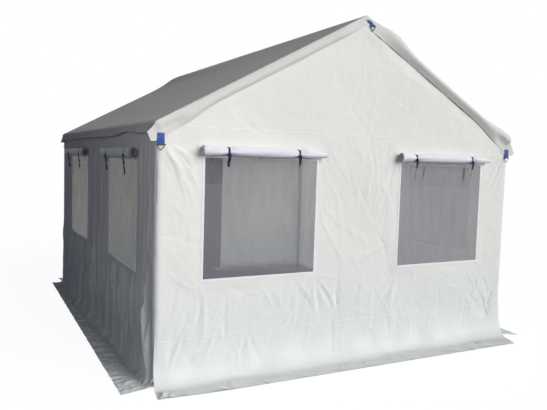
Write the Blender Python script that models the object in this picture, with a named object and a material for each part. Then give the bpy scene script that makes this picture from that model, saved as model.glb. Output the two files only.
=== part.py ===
"""Rapid deployment shelter: a gabled cloth shelter on two hinged arches and a scissor roof frame.

X runs across the gable, Y along the ridge and Z up, in metres. The origin lies on the floor under
the middle of the ridge. The front gable faces -Y. The rear arch slides towards the front arch as
the two scissor chains in the roof slopes close, and the four legs swing in under the rafters.
"""

import math

import bmesh
import bpy
from mathutils import Matrix, Vector
from mathutils.geometry import tessellate_polygon

# Driving sizes of the cover
WIDTH = 3.60
LENGTH = 4.00
EAVE_HEIGHT = 1.945
RIDGE_HEIGHT = 2.925
CLOTH = 0.0024
NET = 0.0012
SEAT_GAP = 0.0004
CORNER_GAP = 0.0020
VERGE_BAND = 0.080
VALANCE_DROP = 0.083
VALANCE_STAND = 0.012
EAVE_ROUND = 0.008
HEM_WAVE = 0.004
HEM_WAVE_PITCH = 0.610
CORNER_DIP = 0.062
CORNER_DIP_REACH = 0.250
RIDGE_SAG = 0.008
FOOT_BEND = 0.100
FLAP_WIDTH = 0.300
SIDE_FLAP_WIDTH = 0.245
REAR_FOOT_CUT = 0.018
REAR_FOOT_CUT_TOP = 0.400
PLEAT_DEPTH = 0.018
PLEAT_PITCH = 0.210
PLEAT_WANDER = ((0.77, 1.7, 2.2), (0.44, 1.0, 5.1))
SWAG_DEPTH = 0.006
SWAG_SOFTNESS = 0.22
DRAG_DEPTH = 0.0027
DRAG_PITCH = 0.340
DRAG_SLANT = 0.12
SEAM_HOLD = (0.030, 0.150)
CORNER_HOLD = 0.150
BAND_HOLD = 0.240

# Windows and doorway, hung below the eave, and their rolled covers
GABLE_WINDOW = (0.985, 0.925)
GABLE_WINDOW_DROP = 0.247
GABLE_WINDOW_INSET = 0.3735
SIDE_WINDOW = (0.930, 0.881)
SIDE_WINDOW_DROP = 0.278
FIRST_SIDE_WINDOW_INSET = 0.498
LAST_SIDE_WINDOW_INSET = 0.649
DOOR_WIDTH = 0.890
DOOR_DROP = 0.245
BINDING_WIDTH = 0.024
BINDING_LIP = 0.006
BINDING = 0.0020
ROLL_RADIUS = 0.0425
ROLL_OVERLAP = 0.060
ROLL_RISE = 0.050
ROLL_PINCH = 0.20
ROLL_LIP = 0.08
PINCH_REACH = 0.030
TIE_INSET = 0.210
TIE_WIDTH = 0.018
TIE = 0.0015
DOOR_ROLL_RADIUS = 0.047
DOOR_ROLL_RISE = 0.010

# Arches: square tube, hinged legs and feet
TUBE = 0.040
TUBE_WALL = 0.0025
ARCH_INSET = 0.060
ROOF_STAND = 0.005
RAFTER_START = 0.035
RIDGE_ARM = 0.160
BRACKET_WALL = 0.0045
LEG_INSET = 0.045
PIN_DROP = 0.060
PIN_RADIUS = 0.005
PIN_CLEARANCE = 0.0005
KNUCKLE_LENGTH = 0.110
CHEEK_REACH = 0.048
CHEEK_CHAMFER = 0.018
STOP_WALL = 0.004
WELD = 0.001
FOOT_PLATE = 0.008
FOOT_SIDE = 0.100
FOOT_EDGE = 0.005
FOOT_CORNER = 0.020

# Scissor chains in the roof slopes
CROSSES = 3
PIVOT_INSET = 0.045
TOP_PIVOT = 0.120
SPREAD = 0.900
BAR_WIDTH = 0.026
BAR_THICKNESS = 0.010
LAYER_GAP = 0.0006
RIVET_RADIUS = 0.004
RIVET_CLEARANCE = 0.0005
RIVET_HEAD = 0.0075
RIVET_CROWN = 0.0052
RIVET_HEAD_HEIGHT = 0.0025
SLIDER_LENGTH = 0.070
SLIDER_WALL = 0.0035
SLIDER_CLEARANCE = 0.0005

# Webbing tabs and their triangular rings
TAB_WIDTH = 0.056
TAB_LENGTH = 0.082
TAB_HANG = 0.165
TAB_THICKNESS = 0.003
TAB_EYE = 0.0060
PEAK_TAB_WIDTH = 0.046
PEAK_TAB_LENGTH = 0.045
PEAK_TAB_LEAN = 1.35
PEAK_TAB_SHIFT = 0.062
PEAK_TAB_DROP = 0.048
RING_WIRE = 0.0025
RING_CLEARANCE = 0.0004
RING_SIDE_PLAY = 0.009
RING_DROP = 0.046
RING_CORNER = 0.0055

# Fineness of the curved parts
PIN_SIDES = 8
END_STEPS = 4
BEND_STEPS = 3
SLOPE_STEPS = 4
ROLL_SIDES = 10
LIP_CORNER = 4
CLOTH_STEP = 0.23
PLEAT_STEP = 0.075

HALF_WIDTH = WIDTH / 2
HALF_LENGTH = LENGTH / 2
PITCH = math.atan2(RIDGE_HEIGHT - EAVE_HEIGHT, HALF_WIDTH)
RISE_PER_RUN = math.tan(PITCH)
ARCH_Y = HALF_LENGTH - ARCH_INSET
HALF_TUBE = TUBE / 2
RAFTER_DROP = CLOTH + ROOF_STAND + HALF_TUBE
AXIS_RIDGE = RIDGE_HEIGHT - RAFTER_DROP / math.cos(PITCH)
LEG_X = HALF_WIDTH - LEG_INSET
PIN_Z = AXIS_RIDGE - RISE_PER_RUN * LEG_X - PIN_DROP / math.cos(PITCH)
BRACKET_HALF = HALF_TUBE + BRACKET_WALL
WALL_HALF = HALF_WIDTH - CLOTH - CORNER_GAP
PIVOT_Y = ARCH_Y - PIVOT_INSET
CROSS_PITCH = 2 * PIVOT_Y / CROSSES
GABLE_WINDOW_HEAD = EAVE_HEIGHT - GABLE_WINDOW_DROP
GABLE_WINDOW_SILL = GABLE_WINDOW_HEAD - GABLE_WINDOW[1]
SIDE_WINDOW_HEAD = EAVE_HEIGHT - SIDE_WINDOW_DROP
SIDE_WINDOW_SILL = SIDE_WINDOW_HEAD - SIDE_WINDOW[1]
DOOR_HEAD = EAVE_HEIGHT - DOOR_DROP
ROLL_TOP = ROLL_RISE + ROLL_RADIUS
SIDES = {"left": -1, "right": 1}
ENDS = {"front": -1, "rear": 1}


def clear_scene():
    for old in list(bpy.data.objects):
        bpy.data.objects.remove(old, do_unlink=True)


def material(name, colour, roughness, metallic=0.0):
    made = bpy.data.materials.new(name)
    made.use_nodes = True
    shader = made.node_tree.nodes["Principled BSDF"]
    shader.inputs["Base Color"].default_value = (*colour, 1.0)
    shader.inputs["Roughness"].default_value = roughness
    shader.inputs["Metallic"].default_value = metallic
    return made


def paint(obj, finish):
    obj.data.materials.append(finish)
    return obj


def new_object(name, mesh, finish, origin=(0.0, 0.0, 0.0)):
    """Add a mesh that was built in place, as an object whose origin lies on its joint's axis."""
    mesh.transform(Matrix.Translation(-Vector(origin)))
    obj = bpy.data.objects.new(name, mesh)
    obj.location = origin
    bpy.context.scene.collection.objects.link(obj)
    mesh.shade_smooth()
    mesh.set_sharp_from_angle(angle=math.radians(40))
    return paint(obj, finish)


def smoothstep(low, high, value):
    share = min(max((value - low) / (high - low), 0.0), 1.0)
    return share * share * (3 - 2 * share)


def spaced(breaks, step):
    """The breaks in order, with even points between them no further apart than the step."""
    points = [breaks[0]]
    for start, end in zip(breaks, breaks[1:]):
        count = max(1, math.ceil((end - start) / step - 1e-9))
        points += [start + (end - start) * k / count for k in range(1, count + 1)]
    return points


def circle(centre, radius):
    turn = 2 * math.pi / PIN_SIDES
    return [
        (centre[0] + radius * math.cos(turn * k), centre[1] + radius * math.sin(turn * k))
        for k in range(PIN_SIDES)
    ]


def rectangle(left, bottom, right, top):
    return [(left, bottom), (right, bottom), (right, top), (left, top)]


def rounded_bar(start, end, radius):
    """The outline of a flat bar with round ends about two pivots."""
    along = math.atan2(end[1] - start[1], end[0] - start[0])
    outline = []
    for centre, first in ((end, along - math.pi / 2), (start, along + math.pi / 2)):
        for k in range(END_STEPS + 1):
            angle = first + math.pi * k / END_STEPS
            outline.append((centre[0] + radius * math.cos(angle), centre[1] + radius * math.sin(angle)))
    return outline


def in_place(x, y, z):
    return Vector((x, y, z))


def side_on(x, z, y):
    return Vector((x, y, z))


def slope_place(side):
    """Turns (down the slope, along the ridge, out of the slope) into a point, from the rafters' meeting."""

    def place(down, along, out):
        x = down * math.cos(PITCH) + out * math.sin(PITCH)
        return Vector((side * x, along, AXIS_RIDGE - down * math.sin(PITCH) + out * math.cos(PITCH)))

    return place


def prism(outline, low, high, place, holes=(), bosses=()):
    """A mesh extruded from an outline with holes. Bosses, each (centre, profile), stand on the low face."""
    bm = bmesh.new()
    loops = [list(outline), *[list(hole) for hole in holes]]
    bottoms = [[bm.verts.new(place(a, b, low)) for a, b in loop] for loop in loops]
    tops = [[bm.verts.new(place(a, b, high)) for a, b in loop] for loop in loops]
    for bottom, top in zip(bottoms, tops):
        bridge(bm, bottom, top)
    close_face(bm, loops, tops)
    for centre, profile in bosses:
        rings = [
            [bm.verts.new(place(a, b, low - rise)) for a, b in circle(centre, radius)]
            for radius, rise in profile
        ]
        for before, after in zip(rings, rings[1:]):
            bridge(bm, before, after)
        bm.faces.new(rings[-1])
        loops.append(circle(centre, profile[0][0]))
        bottoms.append(rings[0])
    close_face(bm, loops, bottoms)
    return finished(bm)


def close_face(bm, loops, rings):
    """Fill a flat face, given its outline and holes both as loops of flat points and as their vertices."""
    verts = [vert for ring in rings for vert in ring]
    for corners in tessellate_polygon([[Vector((a, b, 0)) for a, b in loop] for loop in loops]):
        bm.faces.new([verts[k] for k in corners])


def bridge(bm, first, second):
    for k in range(len(first)):
        after = (k + 1) % len(first)
        bm.faces.new((first[k], first[after], second[after], second[k]))


def finished(bm):
    bmesh.ops.recalc_face_normals(bm, faces=bm.faces)
    mesh = bpy.data.meshes.new("solid")
    bm.to_mesh(mesh)
    bm.free()
    return mesh


def combined(base, others, operation):
    """The base mesh joined with the others, or cut by them."""
    body = bpy.data.objects.new("base", base)
    bpy.context.scene.collection.objects.link(body)
    helpers = [body]
    for mesh in others:
        tool = bpy.data.objects.new("tool", mesh)
        bpy.context.scene.collection.objects.link(tool)
        helpers.append(tool)
        step = body.modifiers.new("join", "BOOLEAN")
        step.operation = operation
        step.solver = "EXACT"
        step.object = tool
    graph = bpy.context.evaluated_depsgraph_get()
    result = bpy.data.meshes.new_from_object(body.evaluated_get(graph))
    for helper in helpers:
        bpy.data.objects.remove(helper, do_unlink=True)
    return result


def mirrored(mesh, side, end):
    """A copy of a mesh built for the right side and the rear end, turned to the given side and end."""
    copy = mesh.copy()
    copy.transform(Matrix.Diagonal((side, end, 1, 1)))
    if side * end < 0:
        copy.flip_normals()
    return copy


def sheet(name, columns, rows, surface, facing, finish, skip=None):
    """Cloth as a grid of points on its outer face, open where skip says so, and thickened inwards."""
    bm = bmesh.new()
    made = {}

    def vert(i, j):
        if (i, j) not in made:
            made[i, j] = bm.verts.new(surface(columns[i], rows[j]))
        return made[i, j]

    for i in range(len(columns) - 1):
        for j in range(len(rows) - 1):
            if skip and skip(i, j):
                continue
            bm.faces.new((vert(i, j), vert(i + 1, j), vert(i + 1, j + 1), vert(i, j + 1)))
    bmesh.ops.remove_doubles(bm, verts=bm.verts, dist=1e-5)
    bm.normal_update()
    if sum(face.normal.dot(facing) * face.calc_area() for face in bm.faces) < 0:
        bmesh.ops.reverse_faces(bm, faces=bm.faces)
    mesh = bpy.data.meshes.new(name)
    bm.to_mesh(mesh)
    bm.free()
    obj = new_object(name, mesh, finish)
    layer = obj.modifiers.new("thickness", "SOLIDIFY")
    layer.thickness = CLOTH
    layer.offset = -1
    layer.use_even_offset = True
    return obj


# Roof cover


def roof_outside(x):
    return RIDGE_HEIGHT - RISE_PER_RUN * abs(x)


def roof_inside(x):
    return roof_outside(x) - CLOTH / math.cos(PITCH)


def roof_profile():
    """Outer points across the roof, the matching points of the band folded over the gable, and each one's
    share of the dip of the hem."""
    edge_x = HALF_WIDTH + VALANCE_STAND
    eave_z = roof_outside(edge_x)
    hem_z = EAVE_HEIGHT - VALANCE_DROP
    band_x = edge_x - VERGE_BAND
    band_z = roof_outside(band_x) - VERGE_BAND / math.cos(PITCH)
    shoulder_x = edge_x - EAVE_ROUND
    points = [
        (edge_x, hem_z, band_x, hem_z, 1.0),
        (edge_x, (hem_z + eave_z) / 2, band_x, (hem_z + band_z) / 2, 0.5),
        (edge_x, eave_z - EAVE_ROUND, band_x, band_z, 0.0),
        (shoulder_x, roof_outside(shoulder_x), band_x, band_z, 0.0),
    ]
    inward_x = VERGE_BAND * math.sin(PITCH)
    inward_z = VERGE_BAND * math.cos(PITCH)
    first_x = band_x + inward_x
    for k in range(SLOPE_STEPS):
        x = first_x * (1 - k / SLOPE_STEPS)
        points.append((x, roof_outside(x), x - inward_x, roof_outside(x) - inward_z, 0.0))
    ridge = (0.0, RIDGE_HEIGHT, 0.0, RIDGE_HEIGHT - VERGE_BAND / math.cos(PITCH), 0.0)
    left = [(-x, z, -bx, bz, dip) for x, z, bx, bz, dip in points]
    return [*left, ridge, *reversed(points)]


def roof_sag(x, y):
    free = 1 - (y / (ARCH_Y - TUBE)) ** 2
    return RIDGE_SAG * max(free, 0.0) * math.cos(math.pi / 2 * min(abs(x) / HALF_WIDTH, 1.0))


def hem_wave(y):
    return HEM_WAVE * (1 + math.sin(2 * math.pi * y / HEM_WAVE_PITCH)) * max(1 - (y / ARCH_Y) ** 2, 0.0)


def hem_dip(y):
    """The hem hangs lower where the band draws it down at the corners."""
    return CORNER_DIP * (1 - smoothstep(0.0, CORNER_DIP_REACH, HALF_LENGTH - abs(y)))


def make_roof(finish):
    profile = roof_profile()
    fold_y = HALF_LENGTH + SEAT_GAP + CLOTH
    supported = ARCH_Y - TUBE
    level = HALF_LENGTH - CORNER_DIP_REACH
    rows = [("band", -fold_y), ("top", -fold_y)]
    rows += [("top", y) for y in spaced([-supported, -level, 0.0, level, supported], 2 * CLOTH_STEP)]
    rows += [("top", fold_y), ("band", fold_y)]

    def surface(point, row):
        x, z, band_x, band_z, dip = point
        kind, y = row
        if kind == "band":
            return Vector((band_x, y, band_z - dip * hem_dip(y)))
        if dip > 0:
            return Vector((x + math.copysign(hem_wave(y), x), y, z - dip * hem_dip(y)))
        return Vector((x, y, z - roof_sag(x, y)))

    return sheet("roof_cover", profile, rows, surface, Vector((0, 0, 1)), finish)


# Walls and mud flaps


def foot_path(width):
    """Outward distance and height along the bend from a flap's edge up into its wall."""
    bend = [math.pi / 2 * (1 - k / BEND_STEPS) for k in range(BEND_STEPS + 1)]
    path = [(FOOT_BEND * (1 - math.cos(a)), CLOTH + FOOT_BEND * (1 - math.sin(a))) for a in bend]
    return [(width, CLOTH), *path]


def window_mask(across, z, windows, sill, head):
    """0 on each window and the seams round it, rising to 1 on the loose cloth away from them."""
    away = 1.0
    for left, right in windows:
        beside = max(left - across, across - right, 0.0)
        above = max(sill - z, z - head, 0.0)
        away = min(away, smoothstep(*SEAM_HOLD, math.hypot(beside, above)))
    return away


def gable_crease(x, z):
    """How far the gable cloth stands in or out: drag lines under the windows and a swag between them."""
    windows = [roll_span(gable_window_span(side)) for side in SIDES.values()]
    loose = window_mask(x, z, windows, GABLE_WINDOW_SILL, GABLE_WINDOW_HEAD + ROLL_TOP)
    loose *= smoothstep(0.0, CORNER_HOLD, HALF_WIDTH - abs(x))
    loose *= smoothstep(BAND_HOLD, BAND_HOLD + CORNER_HOLD, roof_inside(x) - z)
    loose *= smoothstep(FOOT_BEND, 2 * FOOT_BEND, z)
    drag = math.sin(2 * math.pi * (z - DRAG_SLANT * abs(x)) / DRAG_PITCH)
    middle = (GABLE_WINDOW_SILL + GABLE_WINDOW_HEAD) / 2
    half_gap = GABLE_WINDOW_INSET
    ring = (math.hypot(x / half_gap, (z - middle) / (1.5 * half_gap)) - 1) / SWAG_SOFTNESS
    swag = math.exp(-ring * ring) * smoothstep(middle + half_gap / 4, middle - half_gap / 2, z)
    return loose * (DRAG_DEPTH * drag - SWAG_DEPTH * swag)


def gable_window_span(side):
    outer = side * (HALF_WIDTH - GABLE_WINDOW_INSET)
    return tuple(sorted((outer, outer - side * GABLE_WINDOW[0])))


def side_window_spans():
    near = FIRST_SIDE_WINDOW_INSET - HALF_LENGTH
    far = HALF_LENGTH - LAST_SIDE_WINDOW_INSET
    return {"near": (near, near + SIDE_WINDOW[0]), "far": (far - SIDE_WINDOW[0], far)}


def roll_span(window):
    return window[0] - ROLL_OVERLAP, window[1] + ROLL_OVERLAP


def window_columns(windows):
    """The edges of each window and of the roll above it, in order."""
    return [edge for window in windows for edge in sorted((*window, *roll_span(window)))]


def gable_rows(breaks):
    """(outward, height, share of the rise to the roof) from the flap's edge to the top of the gable."""
    rows = [(out, z, 0.0) for out, z in foot_path(FLAP_WIDTH)]
    shoulder = EAVE_HEIGHT - VALANCE_DROP - CORNER_DIP
    heights = spaced([FOOT_BEND + CLOTH, *breaks, shoulder], CLOTH_STEP)
    rows += [(0.0, z, 0.0) for z in heights[1:]]
    return rows + [(0.0, shoulder, share) for share in (0.25, 0.5, 0.75, 1.0, None)]


def gable_height(x, z, share):
    """The height of a point of the gable: its last row but one lies under the roof's folded band."""
    if share == 0.0:
        return z
    top = roof_inside(x) - 1.5 * SEAT_GAP
    if share is None:
        return top
    return z + share * (top - z - min(BAND_HOLD, 0.6 * (top - z)))


def foot_cut(x, z, cut):
    """How far a wall's edge is drawn in near the ground."""
    return math.copysign(cut, x) * smoothstep(HALF_WIDTH / 2, WALL_HALF, abs(x)) * (
        1 - smoothstep(FOOT_BEND, REAR_FOOT_CUT_TOP, z)
    )


def make_gable(name, end, columns, breaks, is_open, finish, cut=0.0):
    """An end wall with its flap, in the plane of its gable."""
    rows = gable_rows(breaks)

    def surface(x, row):
        out, z, share = row
        z = gable_height(x, z, share)
        return Vector((x - foot_cut(x, z, cut), end * (HALF_LENGTH + out + gable_crease(x, z)), z))

    def skip(i, j):
        return is_open((columns[i] + columns[i + 1]) / 2, (rows[j][1] + rows[j + 1][1]) / 2)

    return sheet(name, columns, rows, surface, Vector((0, end, 0)), finish, skip)


def make_front_wall(finish):
    left = gable_window_span(-1)
    right = gable_window_span(1)
    edges = window_columns([left]) + [0.0] + window_columns([right])
    columns = spaced([-WALL_HALF, *edges, WALL_HALF], CLOTH_STEP)
    sill, head = GABLE_WINDOW_SILL, GABLE_WINDOW_HEAD

    def is_open(x, z):
        return sill < z < head and any(a < x < b for a, b in (left, right))

    return make_gable("front_wall", -1, columns, [sill - SEAM_HOLD[0], sill, head], is_open, finish)


def make_rear_wall(finish):
    """The rear wall; its foot slides in between the side flaps as the frame folds, so it is narrower."""
    jamb = DOOR_WIDTH / 2
    columns = spaced([-WALL_HALF, -jamb, 0.0, jamb, WALL_HALF], 1.3 * CLOTH_STEP)

    def is_open(x, z):
        return abs(x) < jamb and z < DOOR_HEAD

    return make_gable("rear_wall", 1, columns, [DOOR_HEAD], is_open, finish, REAR_FOOT_CUT)


def pleat(y, z):
    """How far a side wall stands out: loose pleats that die away at windows, eaves and corners."""
    windows = [roll_span(span) for span in side_window_spans().values()]
    loose = window_mask(y, z, windows, SIDE_WINDOW_SILL, SIDE_WINDOW_HEAD + ROLL_TOP)
    loose *= smoothstep(CORNER_HOLD / 2, 2 * CORNER_HOLD, HALF_LENGTH - abs(y))
    loose *= smoothstep(0.0, 3 * CORNER_HOLD, EAVE_HEIGHT - z)
    wander = sum(size * math.sin(along * y + up * z) for size, along, up in PLEAT_WANDER)
    wave = math.sin(2 * math.pi * y / PLEAT_PITCH + wander)
    return PLEAT_DEPTH * loose * (0.5 + 0.5 * wave)


def pleat_columns():
    edges = window_columns(side_window_spans().values())
    return spaced([-HALF_LENGTH, *edges, HALF_LENGTH], PLEAT_STEP)


def make_side_wall(name, side, finish):
    columns = pleat_columns()
    sill, head = SIDE_WINDOW_SILL, SIDE_WINDOW_HEAD
    top = roof_inside(HALF_WIDTH) - SEAT_GAP
    held = sill - SEAM_HOLD[0]
    rows = spaced([FOOT_BEND + CLOTH, held, sill, head, head + ROLL_TOP, top], 1.2 * CLOTH_STEP)

    def surface(y, z):
        return Vector((side * (HALF_WIDTH + pleat(y, z)), y, z))

    def skip(i, j):
        y = (columns[i] + columns[i + 1]) / 2
        z = (rows[j] + rows[j + 1]) / 2
        return sill < z < head and any(a < y < b for a, b in side_window_spans().values())

    return sheet(name, columns, rows, surface, Vector((side, 0, 0)), finish, skip)


def make_side_flap(name, side, finish):
    rows = foot_path(SIDE_FLAP_WIDTH)
    rows[-1] = (0.0, rows[-1][1] - SEAT_GAP)

    def surface(y, row):
        out, z = row
        share = 1 - min(out / FOOT_BEND, 1.0)
        return Vector((side * (HALF_WIDTH + out + share * pleat(y, FOOT_BEND + CLOTH)), y, z))

    return sheet(name, pleat_columns(), rows, surface, Vector((side, 0, 1)), finish)


# Window nets and rolls


def stack(levels, place):
    """A mesh from outlines of equal count, each (outline, depth), joined in turn and closed at both ends."""
    bm = bmesh.new()
    rings = [[bm.verts.new(place(a, b, depth)) for a, b in outline] for outline, depth in levels]
    for before, after in zip(rings, rings[1:]):
        bridge(bm, before, after)
    bm.faces.new(rings[0])
    bm.faces.new(rings[-1])
    return finished(bm)


def make_net(name, low, high, place, finish):
    """A net panel inside the thickness of the wall, with the binding that sews it to the wall's face."""

    def grown(by):
        return rectangle(low[0] - by, low[1] - by, high[0] + by, high[1] + by)

    edge, lip = grown(-SEAT_GAP), grown(-SEAT_GAP - BINDING_LIP)
    seam, face = -SEAT_GAP, -SEAT_GAP - BINDING
    inset = (CLOTH - NET) / 2
    binding = grown(BINDING_WIDTH)
    levels = [(edge, inset + NET), (edge, seam), (binding, seam), (binding, face), (lip, face), (lip, inset)]
    return new_object(name, stack(levels, place), finish)


def roll_stations(length):
    """Places along a roll, each with the added radius of the tie tape there."""
    half_tie = TIE_WIDTH / 2
    reach = PINCH_REACH + half_tie
    stations = [(0.0, 0.0), (TIE_INSET - 2 * reach, 0.0), (TIE_INSET - reach, 0.0)]
    for place in (TIE_INSET - half_tie, TIE_INSET + half_tie):
        stations += [(place, 0.0), (place, TIE)]
    stations[-2:] = [stations[-1], stations[-2]]
    stations += [(TIE_INSET + reach, 0.0), (TIE_INSET + 2 * reach, 0.0)]
    return [*stations, *[(length - place, band) for place, band in reversed(stations)]]


def wound(k):
    """The share of the radius at one corner of a roll, which falls from the lip round to the lip."""
    return (1 - ROLL_LIP * ((k - LIP_CORNER) % ROLL_SIDES) / ROLL_SIDES) / (
        1 - ROLL_LIP * (-LIP_CORNER % ROLL_SIDES) / ROLL_SIDES
    )


def make_roll(name, start, end, to_wall, radius, finish):
    """A cover rolled up tight along a line, with the cloth's edge as a lip and two tapes that draw it in."""
    length = (end - start).length
    along = (end - start).normalized()
    ties = (TIE_INSET, length - TIE_INSET)
    bm = bmesh.new()
    rings = []
    for place, band in roll_stations(length):
        nearest = min(abs(place - tie) for tie in ties)
        drawn = 1 - ROLL_PINCH * math.exp(-((nearest / PINCH_REACH) ** 2))
        ring = []
        for k in range(ROLL_SIDES):
            turn = 2 * math.pi * k / ROLL_SIDES
            spoke = to_wall * math.cos(turn) - Vector((0, 0, math.sin(turn)))
            reach = radius * drawn * wound(k) + band
            ring.append(bm.verts.new(start + along * place + spoke * reach))
        rings.append(ring)
    for before, after in zip(rings, rings[1:]):
        bridge(bm, before, after)
    bm.faces.new(rings[0])
    bm.faces.new(rings[-1])
    return new_object(name, finished(bm), finish)


def make_windows(net, roll):
    def on_gable(x, z, inward):
        return Vector((x, inward - HALF_LENGTH, z))

    out = HALF_LENGTH + SEAT_GAP + ROLL_RADIUS
    for label, side in SIDES.items():
        left, right = gable_window_span(side)
        low, high = (left, GABLE_WINDOW_SILL), (right, GABLE_WINDOW_HEAD)
        make_net(f"front_{label}_window_net", low, high, on_gable, net)
        start = Vector((left - ROLL_OVERLAP, -out, GABLE_WINDOW_HEAD + ROLL_RISE))
        end = Vector((right + ROLL_OVERLAP, -out, GABLE_WINDOW_HEAD + ROLL_RISE))
        make_roll(f"front_{label}_window_roll", start, end, Vector((0, 1, 0)), ROLL_RADIUS, roll)
    for label, side in SIDES.items():

        def on_side(y, z, inward, side=side):
            return Vector((side * (HALF_WIDTH - inward), y, z))

        out = side * (HALF_WIDTH + SEAT_GAP + ROLL_RADIUS)
        for where, (near, far) in side_window_spans().items():
            low, high = (near, SIDE_WINDOW_SILL), (far, SIDE_WINDOW_HEAD)
            make_net(f"{label}_{where}_window_net", low, high, on_side, net)
            start = Vector((out, near - ROLL_OVERLAP, SIDE_WINDOW_HEAD + ROLL_RISE))
            end = Vector((out, far + ROLL_OVERLAP, SIDE_WINDOW_HEAD + ROLL_RISE))
            make_roll(f"{label}_{where}_window_roll", start, end, Vector((-side, 0, 0)), ROLL_RADIUS, roll)


def make_door_roll(roll):
    """The doorway's flap, rolled up and tied over the opening."""
    reach = DOOR_WIDTH / 2 + ROLL_OVERLAP
    middle = (HALF_LENGTH + SEAT_GAP + DOOR_ROLL_RADIUS, DOOR_HEAD + DOOR_ROLL_RISE)
    start = Vector((-reach, *middle))
    end = Vector((reach, *middle))
    make_roll("rear_door_roll", start, end, Vector((0, -1, 0)), DOOR_ROLL_RADIUS, roll)


# Arches


def make_rafters(finish):
    """Rafter tubes, each with the welded eave fitting that its leg hinges on."""
    place = slope_place(1)

    def seen_from_end(down, out, y):
        return place(down, ARCH_Y + y, out)

    end = (LEG_X + HALF_TUBE / 2) / math.cos(PITCH)
    knuckle = end - KNUCKLE_LENGTH
    pad = HALF_TUBE + ROOF_STAND - SEAT_GAP
    outside = rectangle(RAFTER_START, -HALF_TUBE, end - SEAT_GAP, HALF_TUBE)
    tube = prism(outside, -HALF_TUBE, HALF_TUBE, seen_from_end)
    fitting = rectangle(knuckle, -HALF_TUBE - WELD, end, pad)
    block = prism(fitting, -BRACKET_HALF, BRACKET_HALF, seen_from_end)
    inner = HALF_TUBE + PIN_CLEARANCE
    under = PIN_Z - CHEEK_REACH
    outer_x = LEG_X + HALF_TUBE + SEAT_GAP + STOP_WALL
    top_x = outer_x - CHEEK_CHAMFER
    cheek = [
        (LEG_X - HALF_TUBE, under + HALF_TUBE),
        (LEG_X - HALF_TUBE / 2, under),
        (outer_x, under),
        (outer_x, PIN_Z + HALF_TUBE / 2),
        (top_x, axis_height(top_x)),
        (LEG_X - 2 * HALF_TUBE, axis_height(LEG_X - 2 * HALF_TUBE)),
    ]
    cheeks = [
        prism(cheek, ARCH_Y + face * inner, ARCH_Y + face * BRACKET_HALF, side_on) for face in (-1, 1)
    ]
    web = prism(
        rectangle(outer_x - STOP_WALL, under, outer_x, PIN_Z - HALF_TUBE / 2),
        ARCH_Y - BRACKET_HALF + WELD,
        ARCH_Y + BRACKET_HALF - WELD,
        side_on,
    )
    pin = prism(
        circle((LEG_X, PIN_Z), PIN_RADIUS),
        ARCH_Y - BRACKET_HALF - 2 * PIN_CLEARANCE,
        ARCH_Y + BRACKET_HALF + 2 * PIN_CLEARANCE,
        side_on,
    )
    bore_half = HALF_TUBE - TUBE_WALL
    bore = prism(
        rectangle(RAFTER_START - TUBE, -bore_half, knuckle, bore_half), -bore_half, bore_half, seen_from_end
    )
    rafter = combined(tube, [block, *cheeks, web, pin], "UNION")
    rafter = combined(rafter, [bore], "DIFFERENCE")
    for end_label, end_sign in ENDS.items():
        for label, side in SIDES.items():
            new_object(f"{end_label}_{label}_rafter", mirrored(rafter, side, end_sign), finish)


def axis_height(x):
    return AXIS_RIDGE - RISE_PER_RUN * x


def lug_outline(middle, inward, foot):
    """A lug in the slope's plane that reaches from an arch to a pivot, round at its end."""
    radius = BAR_WIDTH / 2
    outline = [(middle + radius, foot), (middle - radius, foot)]
    for k in range(END_STEPS + 1):
        angle = math.pi * k / END_STEPS
        outline.append((middle - radius * math.cos(angle), inward * (PIVOT_Y - radius * math.sin(angle))))
    return outline


def layer(upper):
    """The two faces of the upper or lower layer of bars, measured out of the slope."""
    near = LAYER_GAP / 2
    far = near + BAR_THICKNESS
    return (near, far) if upper else (-far, -near)


def rivet_profile():
    """(radius, reach below the upper layer) of a rivet's shank and head."""
    reach = LAYER_GAP + BAR_THICKNESS + SEAT_GAP
    return [
        (RIVET_RADIUS, 0.0),
        (RIVET_RADIUS, reach),
        (RIVET_HEAD, reach),
        (RIVET_CROWN, reach + RIVET_HEAD_HEIGHT),
    ]


def riveted(outline, upper, place, pivots):
    """A flat piece of the chain. Upper pieces carry the rivets, flush above, and lower ones the holes."""
    low, high = layer(upper)
    if upper:
        bosses = [(pivot, rivet_profile()) for pivot in pivots]
        return prism(outline, low, high, place, bosses=bosses)
    holes = [circle(pivot, RIVET_RADIUS + RIVET_CLEARANCE) for pivot in pivots]
    return prism(outline, low, high, place, holes=holes)


def make_ridge_brackets(finish):
    """A cast elbow on each arch that takes both rafters, with a lug on each slope for the scissor chain."""
    for label, end in ENDS.items():
        y = end * ARCH_Y
        top = HALF_TUBE + ROOF_STAND - SEAT_GAP
        under = -BRACKET_HALF
        right = slope_place(1)
        corners = [right(RIDGE_ARM, 0, top), right(RIDGE_ARM, 0, under)]
        inner_x = corners[1].x
        outline = [
            (0.0, AXIS_RIDGE + top / math.cos(PITCH)),
            (corners[0].x, corners[0].z),
            (inner_x, corners[1].z),
            (0.0, AXIS_RIDGE + under / math.cos(PITCH)),
            (-inner_x, corners[1].z),
            (-corners[0].x, corners[0].z),
        ]
        body = prism(outline, y - BRACKET_HALF, y + BRACKET_HALF, side_on)
        lugs = []
        sockets = []
        socket = HALF_TUBE + SEAT_GAP
        for side in SIDES.values():
            place = slope_place(side)
            foot = y - end * (BRACKET_HALF - BRACKET_WALL / 2)
            lug = lug_outline(TOP_PIVOT, end, foot)
            lugs.append(riveted(lug, end > 0, place, [(TOP_PIVOT, end * PIVOT_Y)]))
            square = rectangle(RAFTER_START - SEAT_GAP, y - socket, RIDGE_ARM + TUBE, y + socket)
            sockets.append(prism(square, -socket, socket, place))
        body = combined(body, lugs, "UNION")
        new_object(f"{label}_ridge_bracket", combined(body, sockets, "DIFFERENCE"), finish)


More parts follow.
